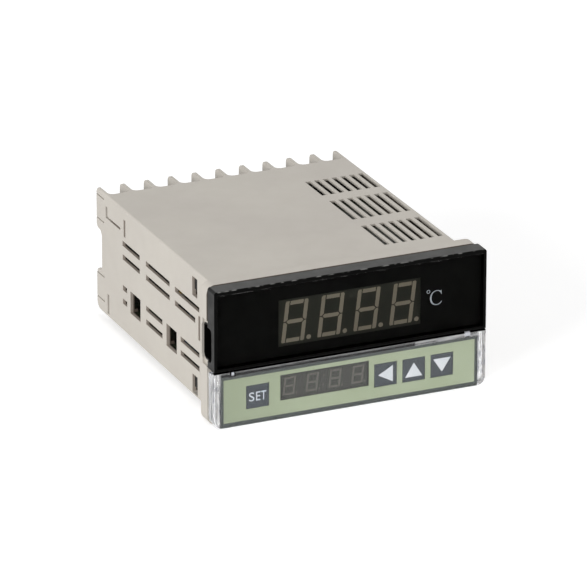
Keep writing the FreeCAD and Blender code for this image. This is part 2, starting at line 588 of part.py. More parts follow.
def snap_arms():
    arms = []
    for sign, side in SIDES:
        for row_sign, row in ROWS:
            tall = mirrored(row_sign, SNAP_LOW, SNAP_HIGH)
            arms.append(block(f"snap_arm_{row}_{side}",
                              mirrored(sign, f"{SKIRT_WIDTH}-skirt_wall", SKIRT_WIDTH),
                              (f"{SKIRT_END}-1", "snap_end-snap_near_gap"), tall))
            arms.append(block(f"snap_hook_{row}_{side}",
                              mirrored(sign, f"{SKIRT_WIDTH}-skirt_wall/2",
                                       f"{SKIRT_WIDTH}+snap_hook_reach"),
                              ("snap_start+snap_hook_lead", "snap_end-1.5*snap_near_gap"), tall))
    return arms


def hinge_ears():
    ears = []
    for sign, side in SIDES:
        across = middle(f"{sign}*{EAR_OFFSET}", "hinge_ear_width")
        ears.append(block(f"hinge_stalk_{side}", across, (HINGE_Y, f"{TROUGH_FRONT}+panel_face/2"),
                          middle(HINGE_Z, "2*hinge_ear")))
        ears.append(rod(f"hinge_eye_{side}", "x", "hinge_ear", across, (HINGE_Y, HINGE_Z)))
    return ears


def bezel_openings():
    """Windows for the displays and keys, pilot bores, hinge bores and release slots."""
    tools = [
        block("digit_window", middle("0", "digit_module_width+2*module_gap"),
              ("-front_depth", BOARD_FACE),
              middle(DIGIT_LEVEL, "digit_module_height+2*module_gap")),
        block("set_window_opening", middle("set_module_place", "set_module_width+2*module_gap"),
              ("-front_depth", BOARD_FACE),
              middle(SET_LEVEL, "set_module_height+2*module_gap")),
        block("pane_seat", middle("set_module_place", "pane_width+2*pane_gap"),
              ("-front_depth", f"{PANEL_FRONT}+pane_thickness"),
              middle(SET_LEVEL, "pane_height+2*pane_gap")),
    ]
    for key, place in KEYS:
        tools.append(block(f"{key}_key_window", middle(place, "key_size+2*key_gap"),
                           ("-front_depth", f"{PANEL_BACK}+1"),
                           middle(KEY_LEVEL, "key_size+2*key_gap")))
        well = "key_size+2*key_rim+2*key_well_gap"
        tools.append(block(f"{key}_key_well", middle(place, well), (PANEL_BACK, BOARD_FACE),
                           middle(KEY_LEVEL, well)))
    for sign, side in SIDES:
        tools.append(rod(f"hinge_eye_bore_{side}", "x", "hinge_pin+hinge_play",
                         middle(f"{sign}*{EAR_OFFSET}", "hinge_ear_width+2"),
                         (HINGE_Y, HINGE_Z)))
        tools.append(rod(f"boss_bore_{side}", "y", "board_screw+pilot_gap",
                         (f"{BOARD_FACE}-board_screw_length", f"{BOARD_FACE}+1"),
                         (f"{sign}*{BOSS[0]}", BOSS[1])))
    return tools + release_shapes("release_slot", SKIRT_WIDTH, "flange_width/2+1", "0",
                                  "release_round")


bosses = [rod(f"boss_{side}", "y", "boss_radius", (f"{FRAME_FRONT}+bezel_face/2", BOARD_FACE),
              (f"{sign}*{BOSS[0]}", BOSS[1])) for sign, side in SIDES]
wells = release_shapes("release_well", f"{SKIRT_WIDTH}-skirt_wall/2",
                       "flange_width/2-notch_depth", "well_wall", "well_round")
bezel_blank = fuse("bezel_blank", [upper_frame(), key_panel(), skirt()] + snap_arms()
                   + hinge_ears() + bosses + wells)
finish("front_bezel", cut("front_bezel", bezel_blank, bezel_openings()))


# ---------------------------------------------------------------- display lens

LENS_HALF = "(flange_width/2-lens_side_rim-lens_gap)"

lens_plate = block("lens_plate", (f"-{LENS_HALF}", LENS_HALF), ("-front_depth", FRAME_FRONT),
                   ("bezel_bottom+lens_low_rim+lens_gap", "flange_height/2-lens_top_rim-lens_gap"))
finish("display_lens", round_edges("display_lens", lens_plate, "lens_bevel", at_front,
                                   "Part::Chamfer"))


# ---------------------------------------------------------------- flip-up cover

def front_cover():
    """Clear front plate with two cheeks, hung on moulded pins under the display lens."""
    lower_edge = "(-flange_height/2+cover_lip)"
    plate = block("cover_block", ("-flange_width/2", "flange_width/2"),
                  ("-front_depth", "-flange_depth-cover_rear_gap"), (lower_edge, HINGE_Z))
    rounded = round_edges("cover_rounded", plate, "cover_corner", lambda edge:
                          direction(edge) == "y"
                          and edge.CenterOfMass.z < -value("flange_height") / 4)
    softened = round_edges("cover_softened", rounded, "cover_edge_round", lambda edge:
                           at_front(edge) and edge.CenterOfMass.z < -value("flange_height") / 4)
    hollow = block("cover_hollow", ("-flange_width/2+cover_cheek", "flange_width/2-cover_cheek"),
                   ("-front_depth+cover_plate", "0"), (f"{lower_edge}-1", "0"))
    barrel = rod("cover_barrel", "x", "hinge_radius", ("-flange_width/2", "flange_width/2"),
                 (HINGE_Y, HINGE_Z))
    tools = []
    pins = []
    for sign, side in SIDES:
        across = middle(f"{sign}*{EAR_OFFSET}", "hinge_ear_width+2*hinge_notch_gap")
        tools.append(rod(f"cover_notch_{side}", "x", "hinge_radius+hinge_notch_gap", across,
                         (HINGE_Y, HINGE_Z)))
        pins.append(rod(f"cover_pin_{side}", "x", "hinge_pin",
                        middle(f"{sign}*{EAR_OFFSET}", "hinge_ear_width+3*hinge_notch_gap"),
                        (HINGE_Y, HINGE_Z)))
    shell = cut("cover_shell", softened, [hollow])
    notched = cut("cover_notched", fuse("cover_hinged", [shell, barrel]), tools)
    return fuse("front_cover", [notched] + pins)


finish("front_cover", front_cover())


# ---------------------------------------------------------------- key panel parts

LABEL_FRONT = f"({PANEL_FRONT}-label_thickness)"
KEY_REST = f"({PANEL_BACK}+key_stop_gap)"
KEY_BACK = f"({KEY_REST}+key_rim_thickness)"
SWITCH_FRONT = f"({BOARD_FACE}-switch_height)"
BUTTON_FRONT = f"({KEY_BACK}+key_stem_length)"


def plate_with_holes(name, width, height, centre, depth_place, thickness, holes):
    """A piece padded back from a sketch of its outline with rectangular holes."""
    body = doc.addObject("PartDesign::Body", name)
    sketch = body.newObject("Sketcher::SketchObject", name + "_outline")
    plane = [item for item in body.Origin.OriginFeatures if item.Role == "XZ_Plane"][0]
    sketch.AttachmentSupport = [(plane, "")]
    sketch.MapMode = "FlatFace"
    for (x, z), (wide, tall) in [(centre, (width, height))] + holes:
        rectangle(sketch, x, z, wide, tall)
    pad = body.newObject("PartDesign::Pad", name + "_pad")
    pad.Profile = sketch
    bind(pad, "Length", thickness)
    pad.Reversed = True
    bind(body, "Placement.Base.y", depth_place)
    body.Tip = pad
    return body


def rectangle(sketch, x, z, wide, tall):
    """Adds a rectangle about a point to a sketch, with its place and size bound to the sheet."""
    start = sketch.GeometryCount
    corners = [FreeCAD.Vector(a, b, 0) for a, b in ((-1, -1), (1, -1), (1, 1), (-1, 1))]
    for number in range(4):
        sketch.addGeometry(Part.LineSegment(corners[number], corners[(number + 1) % 4]), False)
    for number in range(4):
        constrain(sketch, "Coincident", start + number, 2, start + (number + 1) % 4, 1)
    for number, kind in enumerate(("Horizontal", "Vertical", "Horizontal", "Vertical")):
        constrain(sketch, kind, start + number)
    for kind, place, size, point in (("DistanceX", x, wide, 1), ("DistanceY", z, tall, 1)):
        low = constrain(sketch, kind, -1, 1, start, point, -1.0)
        bind(sketch, f"Constraints[{low}]", f"({place})-({size})/2")
        far = constrain(sketch, kind, -1, 1, start + 2, 1, 1.0)
        bind(sketch, f"Constraints[{far}]", f"({place})+({size})/2")


def constrain(sketch, kind, *numbers):
    return sketch.addConstraint(Sketcher.Constraint(kind, *numbers))


label_holes = [((place, KEY_LEVEL), ("key_size+2*key_gap", "key_size+2*key_gap"))
               for key, place in KEYS]
label_holes.append((("set_module_place", SET_LEVEL), ("set_window_width", "set_window_height")))
finish("key_label", plate_with_holes("key_label", f"2*({PANEL_HALF}-label_side_margin)",
                                     f"{LABEL_TOP}-{LABEL_BOTTOM}",
                                     ("0", f"({LABEL_TOP}+{LABEL_BOTTOM})/2"), LABEL_FRONT,
                                     "label_thickness", label_holes))
finish("set_value_window", block("set_value_window", middle("set_module_place", "pane_width"),
                                 (PANEL_FRONT, f"{PANEL_FRONT}+pane_thickness"),
                                 middle(SET_LEVEL, "pane_height")))


def key(name, place):
    """Square key cap with a rim that keeps it behind the panel, and a stem."""
    cap = block(f"{name}_cap", middle(place, "key_size"), (LABEL_FRONT, KEY_BACK),
                middle(KEY_LEVEL, "key_size"))
    cap_rounded = round_edges(f"{name}_cap_rounded", cap, "key_corner",
                              lambda edge: direction(edge) == "y")
    rim = block(f"{name}_rim", middle(place, "key_size+2*key_rim"), (KEY_REST, KEY_BACK),
                middle(KEY_LEVEL, "key_size+2*key_rim"))
    stem = rod(f"{name}_stem", "y", "key_stem", (f"{KEY_BACK}-key_rim_thickness/2", BUTTON_FRONT),
               (place, KEY_LEVEL))
    return fuse(f"{name}_key", [cap_rounded, rim, stem])


for key_name, key_place in KEYS:
    finish(f"{key_name}_key", key(key_name, key_place))
    finish(f"{key_name}_switch_button",
           rod(f"{key_name}_switch_button", "y", "switch_button",
               (BUTTON_FRONT, f"{SWITCH_FRONT}+button_sink"), (key_place, KEY_LEVEL)))

switch_bodies = []
for key_name, key_place in KEYS:
    housing = block(f"{key_name}_switch_housing", middle(key_place, "switch_size"),
                    (SWITCH_FRONT, BOARD_FACE), middle(KEY_LEVEL, "switch_size"))
    well = rod(f"{key_name}_switch_well", "y", "switch_button+button_gap",
               (f"{SWITCH_FRONT}-1", f"{SWITCH_FRONT}+button_well"), (key_place, KEY_LEVEL))
    switch_bodies.append(cut(f"{key_name}_switch", housing, [well]))
finish("key_switches", group("key_switches", switch_bodies))


# ---------------------------------------------------------------- digit displays

class Digits:
    """Sizes of one row of slanted seven-segment digits, read from the sheet."""

    def __init__(self, prefix, gap, dot, dot_offset, front, level):
        self.height = value(f"{prefix}_height")
        self.width = value(f"{prefix}_width")
        self.stroke = value(f"{prefix}_stroke")
        self.pitch = value(f"{prefix}_pitch")
        self.first = value(f"{prefix}_first")
        self.gap = value(gap)
        self.dot = value(dot)
        self.dot_offset = value(dot_offset)
        self.front = front
        self.level = level
        self.slant = value("digit_slant")
        self.corner = value("segment_corner") * self.stroke / value("digit_stroke")
        self.depth = value("segment_depth")
        self.count = 4

    def prism(self, points, centre):
        """Extrudes an outline, given about the digit's centre, after slanting it."""
        corners = [FreeCAD.Vector(centre + x + z * self.slant, self.front, self.level + z)
                   for x, z in points]
        face = Part.Face(Part.makePolygon(corners + corners[:1]))
        return face.extrude(FreeCAD.Vector(0, self.depth, 0))

    def outer_bar(self, up):
        """Top or bottom bar: a plain bar between the uprights."""
        half = self.width / 2 - self.stroke - self.gap
        outer = self.height / 2
        inner = outer - self.stroke
        return [(-half, up * inner), (half, up * inner), (half, up * outer), (-half, up * outer)]

    def middle_bar(self):
        """Middle bar, pointed at both ends."""
        tip = (self.width - self.stroke) / 2 - self.gap
        side = self.stroke / 2
        return [(-tip, 0), (side - tip, side), (tip - side, side), (tip, 0),
                (tip - side, -side), (side - tip, -side)]

    def upright(self, right, up):
        """Upright, full height outside, with its end corner cut off."""
        outer = right * self.width / 2
        inner = right * (self.width / 2 - self.stroke)
        end = up * self.height / 2
        return [(outer, up * self.gap / 2), (outer, end - up * self.corner),
                (outer - right * self.corner, end), (inner, end),
                (inner, up * (self.gap / 2 + self.stroke / 2)),
                (right * (self.width - self.stroke) / 2, up * self.gap / 2)]

    def solids(self):
        """All segments and points of the row."""
        shapes = [self.outer_bar(1), self.middle_bar(), self.outer_bar(-1)]
        shapes += [self.upright(right, up) for right in (-1, 1) for up in (-1, 1)]
        found = []
        for number in range(self.count):
            centre = self.first + number * self.pitch
            found += [self.prism(shape, centre) for shape in shapes]
            found.append(self.point(centre + self.dot_offset, self.dot - self.height / 2))
        return found

    def point(self, x, z):
        place = FreeCAD.Vector(x + z * self.slant, self.front, self.level + z)
        return Part.makeCylinder(self.dot, self.depth, place, FreeCAD.Vector(0, 1, 0))


def shaped(name, solids):
    item = doc.addObject("Part::Feature", name)
    item.Shape = Part.makeCompound(solids)
    item.Placement = FreeCAD.Placement()
    return item


process_block = block("process_block", middle("0", "digit_module_width"),
                      (f"{FRAME_FRONT}+digit_module_sink", BOARD_FACE),
                      middle(DIGIT_LEVEL, "digit_module_height"))
set_block = block("set_block", middle("set_module_place", "set_module_width"),
                  (f"{PANEL_FRONT}+pane_thickness+module_gap/2", BOARD_FACE),
                  middle(SET_LEVEL, "set_module_height"))
doc.recompute()
process_box = process_block.Shape.BoundBox
set_box = set_block.Shape.BoundBox

process_digits = Digits("digit", "segment_gap", "dot_radius", "dot_offset",
                        process_box.YMin, process_box.Center.z + value("digit_rise"))
finish("process_value_display", cut("process_value_display", process_block, [
    shaped("process_pockets", process_digits.solids())]))
finish("process_value_segments", shaped("process_value_segments", process_digits.solids()))

set_digits = Digits("small", "small_gap", "small_dot", "small_dot_offset",
                    set_box.YMin, set_box.Center.z)


def set_solids():
    """The four small digits and the colon between the second and the third."""
    found = set_digits.solids()
    between = set_digits.first + 1.5 * set_digits.pitch
    for level in (-set_digits.height / 4, set_digits.height / 4):
        found.append(set_digits.point(between, level))
    return found


finish("set_value_display", cut("set_value_display", set_block,
                                [shaped("set_pockets", set_solids())]))
finish("set_value_segments", shaped("set_value_segments", set_solids()))


# ---------------------------------------------------------------- circuit boards

CARD_WIDTH = f"(2*({SKIRT_WIDTH}-skirt_wall-display_board_gap))"
CARD_HEIGHT = f"(2*({SKIRT_HEIGHT}-skirt_wall-display_board_gap))"

card = plate_with_holes("display_card", CARD_WIDTH, CARD_HEIGHT, ("0", "0"), BOARD_FACE,
                        "board_thickness", [])
card_holes = [rod(f"card_hole_{side}", "y", "board_hole", (f"{BOARD_FACE}-1", f"{BOARD_BACK}+1"),
                  (f"{sign}*{BOSS[0]}", BOSS[1])) for sign, side in SIDES]
finish("display_board", cut("display_board", card, card_holes))

board_screws = []
for sign, side in SIDES:
    centre = (f"{sign}*{BOSS[0]}", BOSS[1])
    head = rod(f"board_screw_head_{side}", "y", "board_screw_head",
               (BOARD_BACK, f"{BOARD_BACK}+board_screw_head_height"), centre)
    shank = rod(f"board_screw_shank_{side}", "y", "board_screw",
                (f"{BOARD_FACE}-board_screw_length+board_screw_slot",
                 f"{BOARD_BACK}+board_screw_head_height/4"), centre)
    drive = block(f"board_screw_drive_{side}", middle(centre[0], "2*board_screw_head"),
                  (f"{BOARD_BACK}+board_screw_head_height-board_screw_slot_depth",
                   f"{BOARD_BACK}+board_screw_head_height+1"),
                  middle(centre[1], "board_screw_slot"))
    board_screws.append(cut(f"board_screw_{side}", fuse(f"board_screw_blank_{side}",
                                                        [head, shank]), [drive]))
finish("display_board_screws", group("display_board_screws", board_screws))


BOARD_START = f"({SKIRT_END}+board_lead)"
HEADER_REACH = f"({BOARD_START}+header_lap)"
TAIL_END = f"({BOARD_END}-tail_lap)"


def long_board(name, sign):
    """Board that slides into the side rails."""
    return plate_with_holes(name, f"2*{BOARD_HALF}", "board_thickness",
                            ("0", f"{sign}*({BOARD_LEVEL}+board_thickness/2)"), BOARD_START,
                            f"{BOARD_END}-{BOARD_START}", [])


finish("power_board", long_board("power_board", 1))
finish("main_board", long_board("main_board", -1))


def board_header(name, sign):
    """Angled pin header from the display board to a long board."""
    level = f"{sign}*({BOARD_LEVEL}-header_drop)"
    strip = block(f"{name}_strip", middle("0", "header_length"),
                  (BOARD_BACK, f"{BOARD_BACK}+header_size"), middle(level, "header_size"))
    parts = [strip]
    for number in range(int(value("header_pins"))):
        place = f"({number}-(header_pins-1)/2)*header_pitch"
        across = middle(place, "2*header_pin")
        parts.append(block(f"{name}_pin_{number + 1}", across,
                           (f"{BOARD_BACK}+header_size/2", f"{HEADER_REACH}+header_pin"),
                           middle(level, "2*header_pin")))
        parts.append(block(f"{name}_foot_{number + 1}", across,
                           middle(HEADER_REACH, "2*header_pin"),
                           mirrored(sign, f"{BOARD_LEVEL}-header_drop", BOARD_LEVEL)))
    return fuse(name, parts)


finish("power_board_header", board_header("power_board_header", 1))
finish("main_board_header", board_header("main_board_header", -1))


# ---------------------------------------------------------------- parts on the boards

def stand(sign, low, high):
    """Heights above a long board's inner face, as a span of z."""
    return mirrored(sign, f"{BOARD_LEVEL}-({high})", f"{BOARD_LEVEL}-({low})")


def upright_can(name, sign, radius, height, x, y):
    """Round can standing on a long board, with its free end rounded."""
    can = rod(f"{name}_can", "z", radius, stand(sign, "0", height), (x, y))
    doc.recompute()
    box = can.Shape.BoundBox
    free = box.ZMin if sign > 0 else box.ZMax
    return round_edges(name, can, "capacitor_round", lambda edge:
                       near(edge.BoundBox.ZMin, free) and near(edge.BoundBox.ZMax, free))


BOARD_LEFT = f"(-{BOARD_HALF})"
TRANSFORMER_X = f"({BOARD_LEFT}+transformer_edge+core_width/2)"
TRANSFORMER_Y = f"({TAIL_END}-transformer_rear-core_depth/2-bobbin_reach)"
CAPACITOR_X = f"({TRANSFORMER_X}+core_width/2+mains_capacitor_gap+mains_capacitor_radius)"
CAPACITOR_Y = f"({TAIL_END}-mains_capacitor_rear-mains_capacitor_radius)"
RELAY_Y = f"({TAIL_END}-relay_rear-relay_length/2)"
ALARM_X = f"({BOARD_HALF}-relay_edge-relay_width/2)"
OUTPUT_X = f"({ALARM_X}-relay_width-relay_gap)"
FUSE_X = f"({BOARD_LEFT}+fuse_edge+fuse_radius)"
VARISTOR_X = f"({FUSE_X}+fuse_radius+varistor_gap+varistor_radius)"
CONVERTER_X = f"({BOARD_HALF}-converter_edge-converter_length/2)"
TRIMMER_X = f"({BOARD_HALF}-trimmer_edge-trimmer_width/2)"
SMOOTHING_X = f"({BOARD_LEFT}+smoothing_edge+smoothing_radius)"
REGULATOR_X = f"({SMOOTHING_X}+smoothing_radius+regulator_gap+regulator_width/2)"


def transformer():
    """Shell core, bobbin around its middle leg, and the winding on the bobbin."""
    x, y = TRANSFORMER_X, TRANSFORMER_Y
    core = block("core_block", middle(x, "core_width"), middle(y, "core_depth"),
                 stand(1, "0", "core_height"))
    window_height = ("core_yoke", "core_height-core_yoke")
    windows = []
    for sign, side in SIDES:
        inner = f"{x}+{sign}*core_leg/2"
        outer = f"{x}+{sign}*(core_width/2-core_side)"
        span = (inner, outer) if sign > 0 else (outer, inner)
        windows.append(block(f"core_window_{side}", span, middle(y, "core_depth+2"),
                             stand(1, *window_height)))
    finish("transformer_core", cut("transformer_core", core, windows))

    hole = (middle(x, "core_leg+2*coil_gap"), middle(y, "core_depth+2*coil_gap"))
    sleeve = (middle(x, "core_leg+2*coil_gap+2*bobbin_wall"),
              middle(y, "core_depth+2*coil_gap+2*bobbin_wall"))
    plate = (middle(x, "core_width-2*core_side-2*coil_gap"),
             middle(y, "core_depth+2*bobbin_reach"))
    low = "core_yoke+coil_gap"
    high = "core_height-core_yoke-coil_gap"
    bobbin = fuse("bobbin_blank", [
        block("bobbin_sleeve", *sleeve, stand(1, low, high)),
        block("bobbin_near", *plate, stand(1, low, f"{low}+bobbin_flange")),
        block("bobbin_far", *plate, stand(1, f"{high}-bobbin_flange", high))])
    finish("transformer_bobbin", cut("transformer_bobbin", bobbin, [
        block("bobbin_hole", *hole, stand(1, f"{low}-1", f"{high}+1"))]))
    coil = block("coil_block", middle(x, "core_width-2*core_side-2*coil_gap-2*winding_inset"),
                 middle(y, "core_depth+2*bobbin_reach-2*winding_inset"),
                 stand(1, f"{low}+bobbin_flange", f"{high}-bobbin_flange"))
    finish("transformer_winding", cut("transformer_winding", coil, [
        block("coil_hole", *sleeve, stand(1, low, high))]))


transformer()
finish("mains_capacitor", upright_can("mains_capacitor", 1, "mains_capacitor_radius",
                                      "mains_capacitor_height", CAPACITOR_X, CAPACITOR_Y))

for relay, place in (("output_relay", OUTPUT_X), ("alarm_relay", ALARM_X)):
    relay_case = block(f"{relay}_case", middle(place, "relay_width"),
                       middle(RELAY_Y, "relay_length"), stand(1, "0", "relay_height"))
    finish(relay, round_edges(relay, relay_case, "relay_round",
                              lambda edge: direction(edge) == "z"))

finish("fuse", upright_can("fuse_can", 1, "fuse_radius", "fuse_height", FUSE_X, "fuse_y"))
finish("varistor", rod("varistor", "y", "varistor_radius",
                       middle("varistor_y", "varistor_thickness"),
                       (VARISTOR_X, f"{BOARD_LEVEL}-varistor_radius")))
finish("rectifier", block("rectifier", middle("rectifier_x", "rectifier_length"),
                          middle("rectifier_y", "rectifier_width"),
                          stand(1, "0", "rectifier_height")))


def microcontroller():
    """Chip in a dual-in-line package, with its two rows of legs."""
    package = block("chip_package", middle("chip_x", "chip_length"),
                    middle("chip_y", "chip_width"),
                    stand(-1, "chip_standoff", "chip_standoff+chip_height"))
    parts = [package]
    for number in range(int(value("chip_leg_count"))):
        place = f"chip_x+({number}-(chip_leg_count-1)/2)*chip_leg_pitch"
        parts.append(block(f"chip_bridge_{number + 1}", middle(place, "2*chip_leg"),
                           middle("chip_y", "chip_width+2*chip_leg_spread"),
                           stand(-1, "chip_standoff+chip_height/2-chip_leg",
                                 "chip_standoff+chip_height/2+chip_leg")))
        for row_sign, row in ROWS:
            edge = f"chip_y+{row_sign}*(chip_width/2+chip_leg_spread-chip_leg)"
            parts.append(block(f"chip_leg_{row}_{number + 1}", middle(place, "2*chip_leg"),
                               middle(edge, "2*chip_leg"),
                               stand(-1, "0", "chip_standoff+chip_height/2+chip_leg")))
    return fuse("microcontroller", parts)


finish("microcontroller", microcontroller())
finish("converter_chip", block("converter_chip", middle(CONVERTER_X, "converter_length"),
                               middle("converter_y", "converter_width"),
                               stand(-1, "0", "converter_height")))

crystal_can = block("crystal_can", middle("crystal_x", "crystal_length"),
                    middle("crystal_y", "crystal_width"), stand(-1, "0", "crystal_height"))
finish("crystal", round_edges("crystal", crystal_can, "crystal_end_round",
                              lambda edge: direction(edge) == "z"))

finish("calibration_trimmer", fuse("calibration_trimmer", [
    block("trimmer_case", middle(TRIMMER_X, "trimmer_width"),
          middle("trimmer_y", "trimmer_length"), stand(-1, "0", "trimmer_height")),
    rod("trimmer_screw_post", "z", "trimmer_screw",
        stand(-1, "trimmer_height-trimmer_screw_reach", "trimmer_height+trimmer_screw_reach"),
        (TRIMMER_X, "trimmer_y+trimmer_length/4"))]))

finish("smoothing_capacitors", group("smoothing_capacitors", [
    upright_can(f"smoothing_capacitor_{number + 1}", -1, "smoothing_radius", "smoothing_height",
                SMOOTHING_X, f"smoothing_y+{number}*smoothing_pitch")
    for number in range(int(value("smoothing_count")))]))

finish("optocouplers", group("optocouplers", [
    block(f"optocoupler_{number + 1}", middle(f"coupler_x-{number}*coupler_pitch", "coupler_width"),
          middle("coupler_y", "coupler_length"), stand(-1, "0", "coupler_height"))
    for number in range(int(value("coupler_count")))]))

finish("voltage_regulator", fuse("voltage_regulator", [
    block("regulator_body", middle(REGULATOR_X, "regulator_width"),
          ("regulator_y", "regulator_y+regulator_depth"),
          stand(-1, "regulator_lead", "regulator_lead+regulator_height")),
    block("regulator_plate", middle(REGULATOR_X, "regulator_width"),
          ("regulator_y+regulator_depth-regulator_tab", "regulator_y+regulator_depth"),
          stand(-1, "regulator_lead", "regulator_lead+regulator_tab_height"))]
    + [block(f"regulator_lead_{number + 2}",
             middle(f"{REGULATOR_X}+{number}*regulator_lead_pitch", "regulator_lead_width"),
             middle("regulator_y+regulator_depth/2", "regulator_lead_width"),
             stand(-1, "0", "regulator_lead+regulator_lead_width"))
       for number in (-1, 0, 1)]))


# ---------------------------------------------------------------- terminals

PLATE_BACK = f"({SEAT}+clamp_plate)"
WASHER_BACK = f"({PLATE_BACK}+washer_thickness)"
HEAD_BACK = f"({WASHER_BACK}+screw_head_height)"


def terminal_plate(tag, sign, place):
    """Plate on the terminal seat, with a tail through the wall to the board."""
    face = block(f"plate_face_{tag}", middle(place, "clamp_plate_width"),
                 (SEAT, PLATE_BACK),
                 mirrored(sign, f"{BOARD_LEVEL}-clamp_plate", f"{SCREW_LEVEL}+clamp_plate_reach"))
    tail = block(f"plate_tail_{tag}", middle(place, "tail_width"), (TAIL_END, PLATE_BACK),
                 mirrored(sign, f"{BOARD_LEVEL}-clamp_plate", BOARD_LEVEL))
    hole = rod(f"plate_hole_{tag}", "y", "screw_radius+screw_hole_gap",
               (f"{SEAT}-1", f"{PLATE_BACK}+1"), (place, f"{sign}*{SCREW_LEVEL}"))
    return cut(f"plate_{tag}", fuse(f"plate_blank_{tag}", [face, tail]), [hole])


def clamp_washer(tag, sign, place):
    square = block(f"washer_square_{tag}", middle(place, "washer_size"),
                   (PLATE_BACK, WASHER_BACK), middle(f"{sign}*{SCREW_LEVEL}", "washer_size"))
    hole = rod(f"washer_hole_{tag}", "y", "screw_radius+screw_hole_gap",
               (f"{PLATE_BACK}-1", f"{WASHER_BACK}+1"), (place, f"{sign}*{SCREW_LEVEL}"))
    return cut(f"washer_{tag}", square, [hole])


def terminal_screw(tag, sign, place):
    """Cross-slotted screw with a domed head."""
    centre = (place, f"{sign}*{SCREW_LEVEL}")
    head = rod(f"screw_head_{tag}", "y", "screw_head", (WASHER_BACK, HEAD_BACK), centre)
    doc.recompute()
    rear = head.Shape.BoundBox.YMax
    domed = round_edges(f"screw_dome_{tag}", head, "screw_head_round",
                        lambda edge: near(edge.BoundBox.YMin, rear))
    shank = rod(f"screw_shank_{tag}", "y", "screw_radius",
                (f"{WASHER_BACK}-screw_length", f"{WASHER_BACK}+screw_head_height/4"), centre)
    depth = (f"{HEAD_BACK}-screw_slot_depth", f"{HEAD_BACK}+1")
    slots = [block(f"screw_slot_a_{tag}", middle(place, "screw_slot_length"), depth,
                   middle(centre[1], "screw_slot")),
             block(f"screw_slot_b_{tag}", middle(place, "screw_slot"), depth,
                   middle(centre[1], "screw_slot_length"))]
    return cut(f"screw_{tag}", fuse(f"screw_blank_{tag}", [domed, shank]), slots)


for row_sign, row_name in ROWS:
    for piece, maker in (("terminal_plates", terminal_plate), ("terminal_washers", clamp_washer),
                         ("terminal_screws", terminal_screw)):
        pieces = [maker(f"{row_name}_{number + 1}", row_sign, bay_place(number))
                  for number in range(int(value("terminal_count")))]
        finish(f"{piece}_{row_name}", group(f"{piece}_{row_name}", pieces))


# ---------------------------------------------------------------- check and write

doc.recompute()
for item in doc.Objects:
    if "Invalid" in item.State or "Error" in item.State:
        raise RuntimeError(f"{item.Label} failed: {item.State}")
for node in NODES:
    if node.Shape.isNull() or not node.Shape.isValid():
        raise RuntimeError(f"{node.Label} has no valid shape")

os.makedirs("parts", exist_ok=True)
for node in NODES:
    node.Shape.exportStep(os.path.join("parts", node.Label + ".step"))
    print(f"{node.Label}: {len(node.Shape.Solids)} solids, {node.Shape.Volume:.1f} mm3")
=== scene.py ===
import bpy
import bmesh
import math
from mathutils import Matrix, Vector


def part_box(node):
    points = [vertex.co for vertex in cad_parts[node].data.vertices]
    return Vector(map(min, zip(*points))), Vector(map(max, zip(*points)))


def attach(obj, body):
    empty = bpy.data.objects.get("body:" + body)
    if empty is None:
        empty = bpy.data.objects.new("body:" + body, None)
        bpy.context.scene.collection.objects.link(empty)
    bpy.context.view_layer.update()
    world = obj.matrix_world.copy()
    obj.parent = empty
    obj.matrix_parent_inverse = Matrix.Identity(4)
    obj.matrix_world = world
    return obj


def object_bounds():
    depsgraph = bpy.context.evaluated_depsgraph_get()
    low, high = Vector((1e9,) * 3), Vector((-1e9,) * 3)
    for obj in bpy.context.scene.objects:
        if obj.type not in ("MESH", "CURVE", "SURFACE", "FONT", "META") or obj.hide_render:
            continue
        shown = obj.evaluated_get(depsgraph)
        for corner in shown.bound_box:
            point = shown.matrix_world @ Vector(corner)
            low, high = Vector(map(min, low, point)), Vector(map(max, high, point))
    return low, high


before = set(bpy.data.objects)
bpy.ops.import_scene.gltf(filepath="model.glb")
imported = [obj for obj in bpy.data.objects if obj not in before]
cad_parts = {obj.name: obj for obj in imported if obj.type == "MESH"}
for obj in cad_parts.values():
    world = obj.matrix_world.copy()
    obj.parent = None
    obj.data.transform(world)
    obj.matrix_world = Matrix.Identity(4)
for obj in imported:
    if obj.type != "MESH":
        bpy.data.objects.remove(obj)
cad_box = [list(corner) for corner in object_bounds()]


# ---- Case
# The long beige case is one ABS moulding that everything else goes into.
# Its mould was spark eroded to a fine matt grain, and handling leaves it faintly cloudy.

CASE_BEIGE = (0.545, 0.513, 0.460, 1)
CASE_CLOUD = (0.515, 0.482, 0.435, 1)
JAMB_SHADE = (0.42, 0.37, 0.32, 1)
CASE_INSIDE_SHADE = (0.100, 0.080, 0.062, 1)
INSIDE_SPAN = ((-0.0427, 0.0427), (0.0015, 0.0858), (-0.0208, 0.0208))
WALL_SPAN = ((-0.046, 0.046), (0.0015, 0.0858), (-0.0208, 0.0208))
GROOVE_SPAN = ((-0.05, 0.05), (-0.0051, -0.00465), (-0.0036, 0.025))
CASE_ROUGHNESS = 0.55
CASE_SPECULAR = 0.35
CUT_TURN = (0.4, 0.6)  # how sideways a face points, from a cut edge to a plain face
CLOUDS = 38.0  # features a metre, here and in the other patterns
WEAR = 210.0
WEAR_DEPTH = 0.05
GRAIN_STRENGTH = 0.35


def new_finish(name):
    """A node material, with its parts: nodes, links, the Principled shader and the place."""
    finish = bpy.data.materials.new(name)
    finish.use_nodes = True
    nodes = finish.node_tree.nodes
    place = nodes.new("ShaderNodeTexCoord").outputs["Object"]
    return finish, nodes, finish.node_tree.links, nodes["Principled BSDF"], place


def noise(nodes, links, place, scale, detail=3.0):
    """A soft random pattern of that many features a metre."""
    pattern = nodes.new("ShaderNodeTexNoise")
    pattern.inputs["Scale"].default_value = scale
    pattern.inputs["Detail"].default_value = detail
    links.new(place, pattern.inputs["Vector"])
    return pattern.outputs["Fac"]


